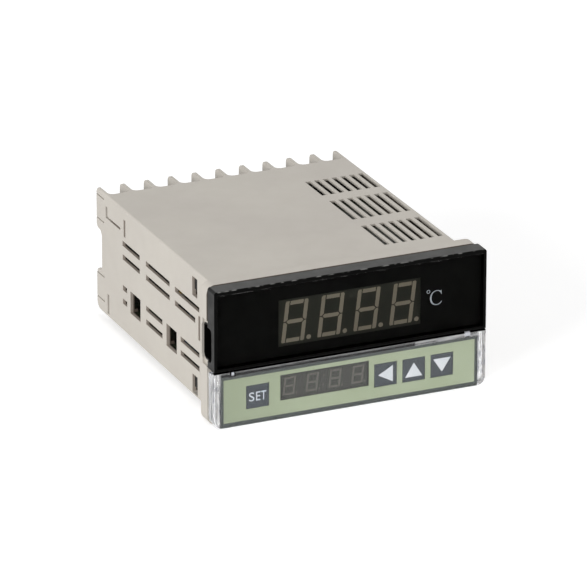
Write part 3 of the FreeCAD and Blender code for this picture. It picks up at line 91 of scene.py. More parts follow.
def spread(nodes, links, value, low, high, start=0.35, end=0.65):
    """Maps a pattern's start to end onto low to high."""
    mapped = nodes.new("ShaderNodeMapRange")
    mapped.inputs["From Min"].default_value = start
    mapped.inputs["From Max"].default_value = end
    mapped.inputs["To Min"].default_value = low
    mapped.inputs["To Max"].default_value = high
    links.new(value, mapped.inputs["Value"])
    return mapped.outputs["Result"]


def blend_colours(nodes, links, factor, first, second):
    """Mixes two colours, each a plain colour or another node's output, by a pattern."""
    mixed = nodes.new("ShaderNodeMix")
    mixed.data_type = "RGBA"
    links.new(factor, mixed.inputs["Factor"])
    for socket, colour in (("A_Color", first), ("B_Color", second)):
        into = next(entry for entry in mixed.inputs if entry.identifier == socket)
        if isinstance(colour, tuple):
            into.default_value = colour
        else:
            links.new(colour, into)
    return next(entry for entry in mixed.outputs if entry.identifier == "Result_Color")


def times(nodes, links, first, second):
    """Multiplies two patterns, the second of which may be a plain number."""
    product = nodes.new("ShaderNodeMath")
    product.operation = "MULTIPLY"
    links.new(first, product.inputs[0])
    if isinstance(second, float):
        product.inputs[1].default_value = second
    else:
        links.new(second, product.inputs[1])
    return product.outputs[0]


def within(nodes, links, place, spans):
    """One inside a box of the given spans in x, y and z, and zero outside it."""
    parts = nodes.new("ShaderNodeSeparateXYZ")
    links.new(place, parts.inputs[0])
    found = None
    for axis, (start, end) in zip("XYZ", spans):
        near = nodes.new("ShaderNodeMath")
        near.operation = "COMPARE"
        near.inputs[1].default_value = (start + end) / 2
        near.inputs[2].default_value = (end - start) / 2
        links.new(parts.outputs[axis], near.inputs[0])
        found = times(nodes, links, found, near.outputs[0]) if found else near.outputs[0]
    return found


def relief(nodes, links, height, depth, strength, under=None):
    """Raises a pattern by depth metres, over another normal if one is given."""
    bump = nodes.new("ShaderNodeBump")
    bump.inputs["Distance"].default_value = depth
    bump.inputs["Strength"].default_value = strength
    links.new(height, bump.inputs["Height"])
    if under:
        links.new(under, bump.inputs["Normal"])
    return bump.outputs["Normal"]


def moulded(name, colour, cloud, roughness, grain=2600.0, depth=0.00003, edge=0.00018,
            patches=()):
    """Moulded plastic: cloudy colour, a spark-eroded grain and slightly broken edges.
    patches is another colour, and the boxes inside which the plastic has it."""
    finish, nodes, links, shader, place = new_finish(name)
    clouds = noise(nodes, links, place, CLOUDS, 5.0)
    tone = blend_colours(nodes, links, spread(nodes, links, clouds, 0.0, 1.0), colour, cloud)
    for spans in patches[1:]:
        tone = blend_colours(nodes, links, within(nodes, links, place, spans), tone, patches[0])
    links.new(tone, shader.inputs["Base Color"])
    links.new(spread(nodes, links, noise(nodes, links, place, WEAR), roughness - WEAR_DEPTH,
                     roughness + WEAR_DEPTH), shader.inputs["Roughness"])
    broken = nodes.new("ShaderNodeBevel")
    broken.inputs["Radius"].default_value = edge
    links.new(relief(nodes, links, noise(nodes, links, place, grain, 2.0), depth,
                     GRAIN_STRENGTH, broken.outputs["Normal"]), shader.inputs["Normal"])
    return finish, shader


def coat(finish, *names):
    """Gives frame nodes a finish."""
    for name in names:
        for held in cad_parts[name].material_slots:
            held.material = finish


# Its inside and the groove behind the bezel are painted dark here: painted shade.
case_finish, case_shader = moulded("beige_abs", CASE_BEIGE, CASE_CLOUD, CASE_ROUGHNESS,
                                   patches=(CASE_INSIDE_SHADE, INSIDE_SPAN, GROOVE_SPAN))
case_shader.inputs["Specular IOR Level"].default_value = CASE_SPECULAR
coat(case_finish, "case_shell")

# The cut edges of its side openings are painted browner and darker than its faces, and its inside
# and the groove behind the bezel are painted dark: all painted shade, for the shadow there.
nodes, links = case_finish.node_tree.nodes, case_finish.node_tree.links
place = nodes["Texture Coordinate"].outputs["Object"]
facing = nodes.new("ShaderNodeSeparateXYZ")
links.new(nodes["Texture Coordinate"].outputs["Normal"], facing.inputs[0])
turned = nodes.new("ShaderNodeMath")
turned.operation = "ABSOLUTE"
links.new(facing.outputs["X"], turned.inputs[0])
cut = times(nodes, links, within(nodes, links, place, WALL_SPAN),
            spread(nodes, links, turned.outputs[0], 1.0, 0.0, *CUT_TURN))
case_tone = case_shader.inputs["Base Color"]
plain = case_tone.links[0].from_socket
painted_shade_tone = blend_colours(nodes, links, within(nodes, links, place, INSIDE_SPAN), JAMB_SHADE,
                         CASE_INSIDE_SHADE)
links.new(blend_colours(nodes, links, cut, plain, painted_shade_tone), case_tone)


# ---- Circuit boards
# Two long boards slide in the case's rails and a small one stands behind the front. They are
# glass cloth and epoxy under green solder mask, with tinned tracks just showing through it.

MASK_GREEN = (0.020, 0.024, 0.014, 1)
TRACK_GREEN = (0.032, 0.040, 0.022, 1)
TRACKS = 110.0
TRACK_WIDTH = 0.055
TRACK_BLUR = 0.2
BOARD_ROUGHNESS = 0.32
WEAVE = 1900.0
WEAVE_DEPTH = 0.00002
WEAVE_STRENGTH = 0.3

board_finish, nodes, links, shader, place = new_finish("green_laminate")
tracks = nodes.new("ShaderNodeTexBrick")
tracks.inputs["Scale"].default_value = TRACKS
tracks.inputs["Mortar Size"].default_value = TRACK_WIDTH
tracks.inputs["Mortar Smooth"].default_value = TRACK_BLUR
links.new(place, tracks.inputs["Vector"])
links.new(blend_colours(nodes, links, tracks.outputs["Fac"], MASK_GREEN, TRACK_GREEN),
          shader.inputs["Base Color"])
shader.inputs["Roughness"].default_value = BOARD_ROUGHNESS
weave = noise(nodes, links, place, WEAVE)
links.new(relief(nodes, links, weave, WEAVE_DEPTH, WEAVE_STRENGTH), shader.inputs["Normal"])
coat(board_finish, "power_board", "main_board", "display_board")


# ---- Headers and small black packages
# The pin headers, chips, rectifier, regulator and switch bodies are moulded in black epoxy
# or glass-filled nylon, matt and slightly grey where the mould wore.

EPOXY_BLACK = (0.018, 0.018, 0.02, 1)
EPOXY_GREY = (0.032, 0.032, 0.033, 1)
EPOXY_ROUGHNESS = 0.6
EPOXY_GRAIN = 3200.0

epoxy_finish, _ = moulded("black_epoxy", EPOXY_BLACK, EPOXY_GREY, EPOXY_ROUGHNESS, EPOXY_GRAIN)
coat(epoxy_finish, "power_board_header", "main_board_header", "microcontroller",
     "converter_chip", "rectifier", "voltage_regulator", "key_switches")


# ---- Transformer
# A stack of steel laminations round a nylon bobbin, whose winding is closed with
# yellow polyester tape. It is soldered to the power board.

CORE_STEEL = (0.20, 0.19, 0.18, 1)
CORE_RUST = (0.11, 0.075, 0.05, 1)
TAPE_YELLOW = (0.72, 0.46, 0.05, 1)
TAPE_AMBER = (0.58, 0.33, 0.03, 1)
NYLON_IVORY = (0.62, 0.58, 0.48, 1)
NYLON_SHADE = (0.56, 0.52, 0.42, 1)
WAVE_REPEAT = 0.314  # metres between two bands of a Wave texture at a scale of 1
LAMINATION = 0.0005
STEEL_ROUGHNESS = 0.45
STEEL_METALLIC = 0.85
TAPE_WIDTH = 0.0024
TAPE_ROUGHNESS = 0.32
NYLON_ROUGHNESS = 0.5
LAYER_WOBBLE = 0.6
LAYER_STRENGTH = 0.6
STAINS = 300.0
STAIN_COVER = 0.7
STAIN_WEAR = 0.08


def striped(name, colour, other, way, pitch, roughness, metallic=0.0):
    """A finish in fine layers along one way, as laminations and wound tape have."""
    finish, nodes, links, shader, place = new_finish(name)
    layers = nodes.new("ShaderNodeTexWave")
    layers.bands_direction = way
    layers.inputs["Scale"].default_value = WAVE_REPEAT / pitch
    layers.inputs["Distortion"].default_value = LAYER_WOBBLE
    layers.inputs["Detail"].default_value = 1.0
    links.new(place, layers.inputs["Vector"])
    wear = noise(nodes, links, place, STAINS, 4.0)
    stained = spread(nodes, links, wear, 0.0, STAIN_COVER)
    links.new(blend_colours(nodes, links, stained, colour, other), shader.inputs["Base Color"])
    links.new(spread(nodes, links, wear, roughness - STAIN_WEAR, roughness + STAIN_WEAR),
              shader.inputs["Roughness"])
    shader.inputs["Metallic"].default_value = metallic
    links.new(relief(nodes, links, layers.outputs["Fac"], pitch / 12, LAYER_STRENGTH),
              shader.inputs["Normal"])
    return finish


coat(striped("laminated_steel", CORE_STEEL, CORE_RUST, "Y", LAMINATION, STEEL_ROUGHNESS,
             STEEL_METALLIC), "transformer_core")
coat(striped("polyester_tape", TAPE_YELLOW, TAPE_AMBER, "Z", TAPE_WIDTH, TAPE_ROUGHNESS),
     "transformer_winding")
nylon_finish, _ = moulded("ivory_nylon", NYLON_IVORY, NYLON_SHADE, NYLON_ROUGHNESS)
coat(nylon_finish, "transformer_bobbin", "optocouplers")


# ---- Capacitors and relays
# The capacitors are aluminium cans in shrunk dark sleeves. The relays, the trimmer and the
# varistor are blue, as is usual for them, and the fuse is a brown moulding.

SLEEVE_NAVY = (0.012, 0.02, 0.05, 1)
SLEEVE_SHINE = (0.03, 0.045, 0.09, 1)
RELAY_BLUE = (0.02, 0.075, 0.23, 1)
RELAY_WORN = (0.03, 0.1, 0.27, 1)
FUSE_BROWN = (0.1, 0.035, 0.02, 1)
FUSE_DARK = (0.07, 0.025, 0.015, 1)
SLEEVE_ROUGHNESS = 0.28
SLEEVE_GRAIN = 900.0
SLEEVE_COAT = 0.3
RELAY_ROUGHNESS = 0.42
FUSE_ROUGHNESS = 0.5

sleeve_finish, sleeve_shader = moulded("capacitor_sleeve", SLEEVE_NAVY, SLEEVE_SHINE,
                                       SLEEVE_ROUGHNESS, SLEEVE_GRAIN)
sleeve_shader.inputs["Coat Weight"].default_value = SLEEVE_COAT
coat(sleeve_finish, "mains_capacitor", "smoothing_capacitors")
relay_finish, _ = moulded("blue_polyester", RELAY_BLUE, RELAY_WORN, RELAY_ROUGHNESS)
coat(relay_finish, "output_relay", "alarm_relay", "calibration_trimmer", "varistor")
fuse_finish, _ = moulded("brown_phenolic", FUSE_BROWN, FUSE_DARK, FUSE_ROUGHNESS)
coat(fuse_finish, "fuse")


# ---- Terminals, board screws and crystal can
# The terminal plates, square washers and screws are steel with a dull nickel plating that
# spots in air. The two board screws and the crystal's can are plated in the same way.

NICKEL = (0.62, 0.60, 0.56, 1)
NICKEL_SPOT = (0.42, 0.39, 0.34, 1)
NICKEL_SPOTS = 520.0
SPOT_ENDS = (0.5, 0.75)
NICKEL_ROUGHNESS = (0.26, 0.44)
NICKEL_GRAIN = 1500.0
NICKEL_DEPTH = 0.00002
NICKEL_STRENGTH = 0.25
NICKEL_EDGE = 0.00012

plated_finish, nodes, links, shader, place = new_finish("nickel_plate")
spots = noise(nodes, links, place, NICKEL_SPOTS, 6.0)
links.new(blend_colours(nodes, links, spread(nodes, links, spots, 0.0, 1.0, *SPOT_ENDS),
                        NICKEL, NICKEL_SPOT), shader.inputs["Base Color"])
links.new(spread(nodes, links, spots, *NICKEL_ROUGHNESS), shader.inputs["Roughness"])
shader.inputs["Metallic"].default_value = 1.0
broken = nodes.new("ShaderNodeBevel")
broken.inputs["Radius"].default_value = NICKEL_EDGE
links.new(relief(nodes, links, noise(nodes, links, place, NICKEL_GRAIN), NICKEL_DEPTH,
                 NICKEL_STRENGTH, broken.outputs["Normal"]), shader.inputs["Normal"])
coat(plated_finish, "crystal", "display_board_screws",
     *[f"terminal_{part}_{row}" for part in ("plates", "washers", "screws")
       for row in ("upper", "lower")])


# ---- Displays
# Each display is an olive-grey epoxy block with four unlit seven-segment digits cast into its
# face. The segments are milky epoxy, so they look taupe until a lamp behind them is lit.

BLOCK_OLIVE = (0.078, 0.080, 0.068, 1)
BLOCK_DARK = (0.066, 0.067, 0.057, 1)
SEGMENT_TAUPE = (0.53, 0.475, 0.38, 1)
SEGMENT_WARM = (0.48, 0.42, 0.335, 1)
SMALL_BLOCK = (0.222, 0.222, 0.214, 1)
SMALL_SHADE = (0.210, 0.210, 0.200, 1)
SMALL_SEGMENT = (0.49, 0.455, 0.425, 1)
SMALL_SEGMENT_WARM = (0.46, 0.425, 0.395, 1)
DISPLAY_ROUGHNESS = 0.6
DISPLAY_SPECULAR = 0.1
DISPLAY_GRAIN = 5200.0
DISPLAY_GRAIN_DEPTH = 0.00001
DISPLAY_EDGE = 0.00005

for finish_name, colour, cloud, node in (
        ("process_block", BLOCK_OLIVE, BLOCK_DARK, "process_value_display"),
        ("process_segments", SEGMENT_TAUPE, SEGMENT_WARM, "process_value_segments"),
        ("set_block", SMALL_BLOCK, SMALL_SHADE, "set_value_display"),
        ("set_segments", SMALL_SEGMENT, SMALL_SEGMENT_WARM, "set_value_segments")):
    finish, shader = moulded(finish_name, colour, cloud, DISPLAY_ROUGHNESS, DISPLAY_GRAIN,
                             DISPLAY_GRAIN_DEPTH, DISPLAY_EDGE)
    shader.inputs["Specular IOR Level"].default_value = DISPLAY_SPECULAR
    coat(finish, node)


# ---- Bezel
# The black front is one ABS moulding that snaps into the case with four hooks.
# It is satin, and its edges catch a little more light than its faces.

BEZEL_BLACK = (0.0022, 0.0022, 0.0021, 1)
BEZEL_GREY = (0.0032, 0.0032, 0.0030, 1)
BEZEL_GLOSS = (0.02, 0.02, 0.02, 1)
BEZEL_SPECULAR = 0.27
BEZEL_ROUGHNESS = 0.42
BEZEL_GRAIN = 3000.0
BEZEL_TOP_SHEEN = (0.041, 0.041, 0.039, 1)
TOP_FACE = ((-0.0478, 0.0478), (-0.0112, -0.0050), (0.02395, 0.0242))
BEZEL_EDGE_HIGHLIGHT = (0.16, 0.16, 0.155, 1)
FRONT_EDGE = ((-0.0475, 0.0475), (-0.0111, -0.0108), (0.0237, 0.0241))
DASHES = 380.0
DASH_ENDS = (0.5, 0.62)
EAR_HIGHLIGHT = (0.62, 0.63, 0.68, 1)
LEFT_EAR = ((-0.0420, -0.0411), (-0.012, -0.009), (-0.0056, -0.0044))
RIGHT_EAR = ((0.0400, 0.0430), (-0.012, -0.009), (-0.0056, -0.0040))

# Its two hinge ears have a light spot each, a painted highlight. The tint of its gloss, here and
# on the lens print, keeps it black seen face on and leaves its shine at a glancing angle.
bezel_finish, bezel_shader = moulded("black_abs", BEZEL_BLACK, BEZEL_GREY, BEZEL_ROUGHNESS,
                                     BEZEL_GRAIN, patches=(EAR_HIGHLIGHT, LEFT_EAR, RIGHT_EAR))
bezel_shader.inputs["Specular Tint"].default_value = BEZEL_GLOSS
bezel_shader.inputs["Specular IOR Level"].default_value = BEZEL_SPECULAR
coat(bezel_finish, "front_bezel")

# Its top face is painted lighter, a painted sheen of the light from above, and its top front edge
# has painted highlights in short grey dashes.
nodes, links = bezel_finish.node_tree.nodes, bezel_finish.node_tree.links
place = nodes["Texture Coordinate"].outputs["Object"]
dashes = spread(nodes, links, noise(nodes, links, place, DASHES, 1.0), 0.0, 1.0, *DASH_ENDS)
highlight_dashes = times(nodes, links, within(nodes, links, place, FRONT_EDGE), dashes)
plain = bezel_shader.inputs["Base Color"].links[0].from_socket
top_sheen = blend_colours(nodes, links, within(nodes, links, place, TOP_FACE), plain, BEZEL_TOP_SHEEN)
links.new(blend_colours(nodes, links, highlight_dashes, top_sheen, BEZEL_EDGE_HIGHLIGHT),
          bezel_shader.inputs["Base Color"])


# ---- Display lens and its print
# The lens is a smoked acrylic plate bonded to the front of the bezel. Black is printed on its
# back but for a window before the digits, and the degree sign and C are printed beside it.

LENS_SMOKE = (0.40, 0.40, 0.39, 1)
LENS_INK = (0.0030, 0.0030, 0.0029, 1)
LENS_INK_THIN = (0.0045, 0.0045, 0.0043, 1)
SIGN_WHITE = (0.56, 0.61, 0.68, 1)
SIGN_FADED = (0.46, 0.51, 0.57, 1)
CLEAR_UNEVEN = 160.0
CLEAR_WEAR = 0.02
INK_THINNING = 260.0
INK_ROUGHNESS = (0.42, 0.55)
INK_GLOSS = 0.5
CLEAR_INDEX = 1.0  # no reflection of their own: the print behind the lens carries the gloss
LENS_EDGE_HIGHLIGHT = 0.14
EDGE_STREAKS = 420.0
STREAK_ENDS = (0.48, 0.62)
EDGE_UP = (0.5, 0.6)  # z of the bevelled edge's direction, from no streaks to full ones
EDGE_FORWARD = (-0.5, -0.4)  # and its y, from full streaks to none
PRINT_MARGIN = 0.0003
INK = 0.00003  # thickness of a printed layer
WINDOW = ((-0.0250, 0.0252), (0.0011, 0.0171))
SIGN_C = ((0.0285, 0.0327), (0.0067, 0.0118))
SIGN_RING = (0.0279, 0.0117)
RING_OUTER = 0.00062
RING_INNER = 0.00042
RING_SIDES = 32


def clear(name, tint, index, roughness):
    """Clear plastic with a faintly uneven polish, which lets lamps reach what is behind it."""
    finish, nodes, links, shader, place = new_finish(name)
    shader.inputs["Base Color"].default_value = tint
    shader.inputs["Transmission Weight"].default_value = 1.0
    shader.inputs["IOR"].default_value = index
    links.new(spread(nodes, links, noise(nodes, links, place, CLEAR_UNEVEN), roughness,
                     roughness + CLEAR_WEAR), shader.inputs["Roughness"])
    through = nodes.new("ShaderNodeBsdfTransparent")
    through.inputs["Color"].default_value = tint
    ray = nodes.new("ShaderNodeLightPath")
    either = nodes.new("ShaderNodeMixShader")
    links.new(ray.outputs["Is Shadow Ray"], either.inputs[0])
    links.new(shader.outputs[0], either.inputs[1])
    links.new(through.outputs[0], either.inputs[2])
    links.new(either.outputs[0], nodes["Material Output"].inputs["Surface"])
    return finish, nodes, links, shader, place


def printed(name, colour, faded, gloss=0.0):
    """Screen-printing ink, a little thinner in places, and without gloss unless some is given."""
    finish, nodes, links, shader, place = new_finish(name)
    patch = noise(nodes, links, place, INK_THINNING, 4.0)
    links.new(blend_colours(nodes, links, spread(nodes, links, patch, 0.0, 1.0), colour, faded),
              shader.inputs["Base Color"])
    links.new(spread(nodes, links, patch, *INK_ROUGHNESS), shader.inputs["Roughness"])
    shader.inputs["Specular IOR Level"].default_value = gloss
    return finish


def piece(name, mesh, finish, body):
    """Makes a finished mesh a piece that rides on a body."""
    made = bpy.data.objects.new(name, mesh)
    bpy.context.scene.collection.objects.link(made)
    mesh.materials.clear()
    mesh.materials.append(finish)
    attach(made, body)


def fit(mesh, spans):
    """Stretches a mesh onto the given spans in x, y and z."""
    low = [min(vertex.co[axis] for vertex in mesh.vertices) for axis in range(3)]
    high = [max(vertex.co[axis] for vertex in mesh.vertices) for axis in range(3)]
    for vertex in mesh.vertices:
        for axis, (start, end) in enumerate(spans):
            share = (vertex.co[axis] - low[axis]) / (high[axis] - low[axis])
            vertex.co[axis] = start + share * (end - start)


def mesh_of(shape, name):
    """Turns a finished bmesh into a mesh, with its faces outwards."""
    bmesh.ops.recalc_face_normals(shape, faces=shape.faces)
    mesh = bpy.data.meshes.new(name)
    shape.to_mesh(mesh)
    shape.free()
    return mesh


def thick_ring(shape, step):
    """Bridges a shape's two outlines into a flat ring and draws it out by a step.
    The parts are then put in order of place, because bridging leaves them in any order."""
    ring = bmesh.ops.bridge_loops(shape, edges=shape.edges[:])["faces"]
    lifted = bmesh.ops.extrude_face_region(shape, geom=ring)["geom"]
    bmesh.ops.translate(shape, vec=step,
                        verts=[part for part in lifted if isinstance(part, bmesh.types.BMVert)])
    for parts, centre in ((shape.verts, lambda vertex: vertex.co),
                          (shape.faces, lambda face: face.calc_center_median())):
        ordered = sorted(parts, key=lambda part: [round(value, 7) for value in centre(part)])
        for index, part in enumerate(ordered):
            part.index = index
        parts.sort()


def flat_shape(name, curve):
    """The mesh of a text or flat curve, stood up to face forwards."""
    holder = bpy.data.objects.new(name, curve)
    bpy.context.scene.collection.objects.link(holder)
    mesh = bpy.data.meshes.new_from_object(
        holder.evaluated_get(bpy.context.evaluated_depsgraph_get()))
    bpy.data.objects.remove(holder)
    mesh.transform(Matrix.Rotation(math.radians(90), 4, "X"))
    return mesh


lens_low, lens_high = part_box("display_lens")
lens_finish, nodes, links, shader, place = clear("smoked_acrylic", LENS_SMOKE, CLEAR_INDEX, 0.0)
coat(lens_finish, "display_lens")

# Its bevelled edge, where it faces up and forwards, is painted grey in broken streaks: a painted
# highlight.
facing = nodes.new("ShaderNodeSeparateXYZ")
links.new(place.node.outputs["Normal"], facing.inputs[0])
bevel = spread(nodes, links, facing.outputs["Z"], 0.0, 1.0, *EDGE_UP)
bevel = times(nodes, links, bevel, spread(nodes, links, facing.outputs["Y"], 1.0, 0.0,
                                          *EDGE_FORWARD))
streaks = spread(nodes, links, noise(nodes, links, place, EDGE_STREAKS, 1.0), 0.0, LENS_EDGE_HIGHLIGHT,
                 *STREAK_ENDS)
clear_beside_highlight = nodes.new("ShaderNodeMath")
clear_beside_highlight.operation = "SUBTRACT"
clear_beside_highlight.inputs[0].default_value = 1.0
links.new(times(nodes, links, bevel, streaks), clear_beside_highlight.inputs[1])
links.new(clear_beside_highlight.outputs[0], shader.inputs["Transmission Weight"])

# The print is one sheet with a window: a frame bridged from an outer to an inner outline.
outline = ((lens_low.x + PRINT_MARGIN, lens_high.x - PRINT_MARGIN),
           (lens_low.z + PRINT_MARGIN, lens_high.z - PRINT_MARGIN))
shape = bmesh.new()
for (x0, x1), (z0, z1) in (outline, WINDOW):
    corners = [shape.verts.new((x, lens_high.y - INK, z))
               for x, z in ((x0, z0), (x1, z0), (x1, z1), (x0, z1))]
    for i in range(4):
        shape.edges.new((corners[i], corners[(i + 1) % 4]))
thick_ring(shape, (0, -INK, 0))
ink_finish = printed("black_ink", LENS_INK, LENS_INK_THIN, INK_GLOSS)
ink_shader = ink_finish.node_tree.nodes["Principled BSDF"]
ink_shader.inputs["Specular Tint"].default_value = BEZEL_GLOSS
piece("lens_print", mesh_of(shape, "lens_print"), ink_finish, "housing")

# The degree sign and the C are white ink, one layer in front of the black.
sign_finish = printed("white_ink", SIGN_WHITE, SIGN_FADED)
sign_y = (lens_high.y - 4 * INK, lens_high.y - 3 * INK)
letter = bpy.data.curves.new("letter_c", "CURVE")
letter.dimensions = "2D"
letter.fill_mode = "BOTH"
letter.extrude = 0.01  # any depth, since fit() sets it
stroke = letter.splines.new("BEZIER")
C_POINTS = (  # point, handle before, handle after
    ((0.96, 0.98), (0.96, 0.80), (0.93, 0.98)),
    ((0.91, 0.92), (0.92, 0.94), (0.82, 0.97)),
    ((0.56, 1.00), (0.70, 1.00), (0.24, 1.00)),
    ((0.00, 0.50), (0.00, 0.78), (0.00, 0.20)),
    ((0.56, 0.00), (0.24, 0.00), (0.78, 0.00)),
    ((1.00, 0.22), (0.94, 0.08), (0.98, 0.23)),
    ((0.97, 0.24), (0.98, 0.24), (0.88, 0.12)),
    ((0.58, 0.05), (0.76, 0.05), (0.32, 0.05)),
    ((0.12, 0.50), (0.12, 0.24), (0.12, 0.78)),
    ((0.56, 0.955), (0.30, 0.955), (0.76, 0.955)),
    ((0.95, 0.70), (0.91, 0.86), (0.96, 0.70)),
    ((0.98, 0.70), (0.97, 0.70), (0.98, 0.80)),
)
stroke.bezier_points.add(len(C_POINTS) - 1)
for point, (at, before, after) in zip(stroke.bezier_points, C_POINTS):
    point.co = (*at, 0)
    point.handle_left = (*before, 0)
    point.handle_right = (*after, 0)
stroke.use_cyclic_u = True
mesh = flat_shape("celsius_letter", letter)
fit(mesh, (SIGN_C[0], sign_y, SIGN_C[1]))
piece("celsius_letter", mesh, sign_finish, "housing")

shape = bmesh.new()
for radius in (RING_OUTER, RING_INNER):
    bmesh.ops.create_circle(shape, segments=RING_SIDES, radius=radius)
thick_ring(shape, (0, 0, INK))
bmesh.ops.rotate(shape, verts=shape.verts, matrix=Matrix.Rotation(math.radians(90), 3, "X"))
bmesh.ops.translate(shape, vec=(SIGN_RING[0], sign_y[1], SIGN_RING[1]), verts=shape.verts)
piece("degree_ring", mesh_of(shape, "degree_ring"), sign_finish, "housing")


# ---- Key label and its small window
# A printed polyester film covers the lower panel: pale green inside a dark border. The small
# smoked window in it covers the set-value digits.

LABEL_GREEN = (0.290, 0.334, 0.212, 1)
LABEL_PALE = (0.312, 0.355, 0.238, 1)
LABEL_SHADE = (0.248, 0.287, 0.182, 1)
LABEL_BORDER = (0.030, 0.038, 0.034, 1)
GREEN_FIELD = ((-0.0444, 0.0444), (-0.02, 0.0), (-0.02215, -0.0072))
SHADED_END = (-0.044, -0.012)
LABEL_CLOUDS = 60.0
LABEL_GRAIN = 2400.0
LABEL_GRAIN_DEPTH = 0.00001
LABEL_GRAIN_STRENGTH = 0.3
LABEL_ROUGHNESS = 0.45

# The green is a little darker towards its left end.
label_finish, nodes, links, shader, place = new_finish("printed_film")
field = within(nodes, links, place, GREEN_FIELD)
tone = spread(nodes, links, noise(nodes, links, place, LABEL_CLOUDS, 4.0), 0.0, 1.0)
green = blend_colours(nodes, links, tone, LABEL_GREEN, LABEL_PALE)
parts = nodes.new("ShaderNodeSeparateXYZ")
links.new(place, parts.inputs[0])
across = spread(nodes, links, parts.outputs["X"], 0.0, 1.0, *SHADED_END)
green = blend_colours(nodes, links, across, LABEL_SHADE, green)
links.new(blend_colours(nodes, links, field, LABEL_BORDER, green), shader.inputs["Base Color"])
shader.inputs["Roughness"].default_value = LABEL_ROUGHNESS
links.new(relief(nodes, links, noise(nodes, links, place, LABEL_GRAIN), LABEL_GRAIN_DEPTH,
                 LABEL_GRAIN_STRENGTH), shader.inputs["Normal"])
coat(label_finish, "key_label")

WINDOW_SMOKE = (0.50, 0.50, 0.48, 1)
coat(clear("smoked_window", WINDOW_SMOKE, CLEAR_INDEX, 0.0)[0], "set_value_window")


# ---- Keys
# Four square keys stand through the label, each on the button of a small switch behind it.
# They are slate ABS with a white sign printed on the face, and they go in when pressed.

KEY_SLATE = (0.021, 0.029, 0.036, 1)
KEY_WORN = (0.026, 0.034, 0.043, 1)
KEY_SIGN = (0.60, 0.615, 0.625, 1)
KEY_SIGN_WORN = (0.54, 0.565, 0.585, 1)
SET_INK = (0.52, 0.57, 0.63, 1)
KEY_ROUGHNESS = 0.42
BUTTON_ROUGHNESS = 0.4
SIGN_SINK = 0.00002
SIGNS = {  # width, height and turn of each arrow, as a triangle that points up before it turns
    "shift": (0.0052, 0.0057, 90),
    "up": (0.0061, 0.0049, 0),
    "down": (0.0062, 0.00475, 180),
}
SET_SIZE = (0.0060, 0.00305)
SET_LETTERS = (("S", (0.0, 0.30)), ("E", (0.41, 0.66)), ("T", (0.70, 1.0)))

key_finish, _ = moulded("slate_abs", KEY_SLATE, KEY_WORN, KEY_ROUGHNESS)
button_finish, _ = moulded("switch_button", EPOXY_BLACK, EPOXY_GREY, BUTTON_ROUGHNESS)
key_sign_finish = printed("key_white", KEY_SIGN, KEY_SIGN_WORN)
set_sign_finish = printed("key_pale", SET_INK, KEY_SIGN_WORN)


def key_spans(key, width, height):
    """Where a sign lies on a key: its spans in x, y and z, a hair proud of the face."""
    low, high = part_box(f"{key}_key")
    x, z = (low.x + high.x) / 2, (low.z + high.z) / 2
    return ((x - width / 2, x + width / 2), (low.y - INK, low.y + SIGN_SINK),
            (z - height / 2, z + height / 2))


for key in ("set", "shift", "up", "down"):
    coat(key_finish, f"{key}_key")
    coat(button_finish, f"{key}_switch_button")

for key, (width, height, turn) in SIGNS.items():
    shape = bmesh.new()
    bmesh.ops.create_cone(shape, cap_ends=True, cap_tris=False, segments=3, radius1=1.0,
                          radius2=1.0, depth=1.0)
    face_on = Matrix.Rotation(math.radians(-turn), 3, "Y") @ Matrix.Rotation(
        math.radians(90), 3, "X")
    bmesh.ops.rotate(shape, verts=shape.verts, matrix=face_on)
    mesh = mesh_of(shape, f"{key}_arrow")
    fit(mesh, key_spans(key, width, height))
    piece(f"{key}_arrow", mesh, key_sign_finish, f"{key}_button")

# The word is joined from its three letters, each fitted to its own place on the key. Their faces
# point outwards as they come, and are left so, because caps and sides aren't joined to each other.
across, along, up = key_spans("set", *SET_SIZE)
word = bmesh.new()
for letter, (start, end) in SET_LETTERS:
    text = bpy.data.curves.new("letter", "FONT")
    text.body = letter
    text.extrude = 0.05  # any depth, as before
    mesh = flat_shape("letter", text)
    fit(mesh, ((across[0] + start * (across[1] - across[0]),
                across[0] + end * (across[1] - across[0])), along, up))
    word.from_mesh(mesh)
joined = bpy.data.meshes.new("set_word")
word.to_mesh(joined)
word.free()
piece("set_word", joined, set_sign_finish, "set_button")


# ---- Front cover
# The flap over the keys is clear polycarbonate. It hangs on two moulded pins in the bezel's
# ears and swings up to let a finger in.

COVER_CLEAR = (0.97, 0.975, 0.985, 1)
COVER_GLOSS = (0.5, 0.5, 0.5, 1)
COVER_DARK_REFLECTION = (0.38, 0.40, 0.45, 1)
COVER_BLACK = (0.002, 0.002, 0.002, 1)
COVER_INDEX = 1.5
CHEEK_SIDE = (0.0455, 0.0459)  # distance from the middle at which a cheek begins
COVER_STREAKS = 900.0
COVER_STREAK_STRETCH = (1.0, 1.0, 0.18)
BREAK_STRETCH = (0.10, 1.0, 1.0)
REFLECTION_STREAKS = 620.0
REFLECTION_STRETCH = (1.0, 1.0, 0.4)
REFLECTION_ENDS = (0.54, 0.64)
RUN_DEPTH = 0.0003
RUN_STRENGTH = 0.5
WEAKEST_HIGHLIGHT = 0.4
CHEEK_HIGHLIGHT = 0.32
HINGE_HIGHLIGHT = 0.035
LINE_HIGHLIGHT = 0.20
RIGHT_HIGHLIGHT = 0.50
BLACK_BAND = (-0.0045, -0.00438)
HINGE_BAND = ((-0.05, 0.05), (-0.012, -0.0100), (-0.0060, -0.00445))
LINE_BAND = ((-0.05, 0.05), (-0.012, -0.0100), (-0.0049, -0.00445))
RIGHT_HIGHLIGHT_BAND = ((0.0227, 0.0455), (-0.012, -0.0100), (-0.0057, -0.00445))

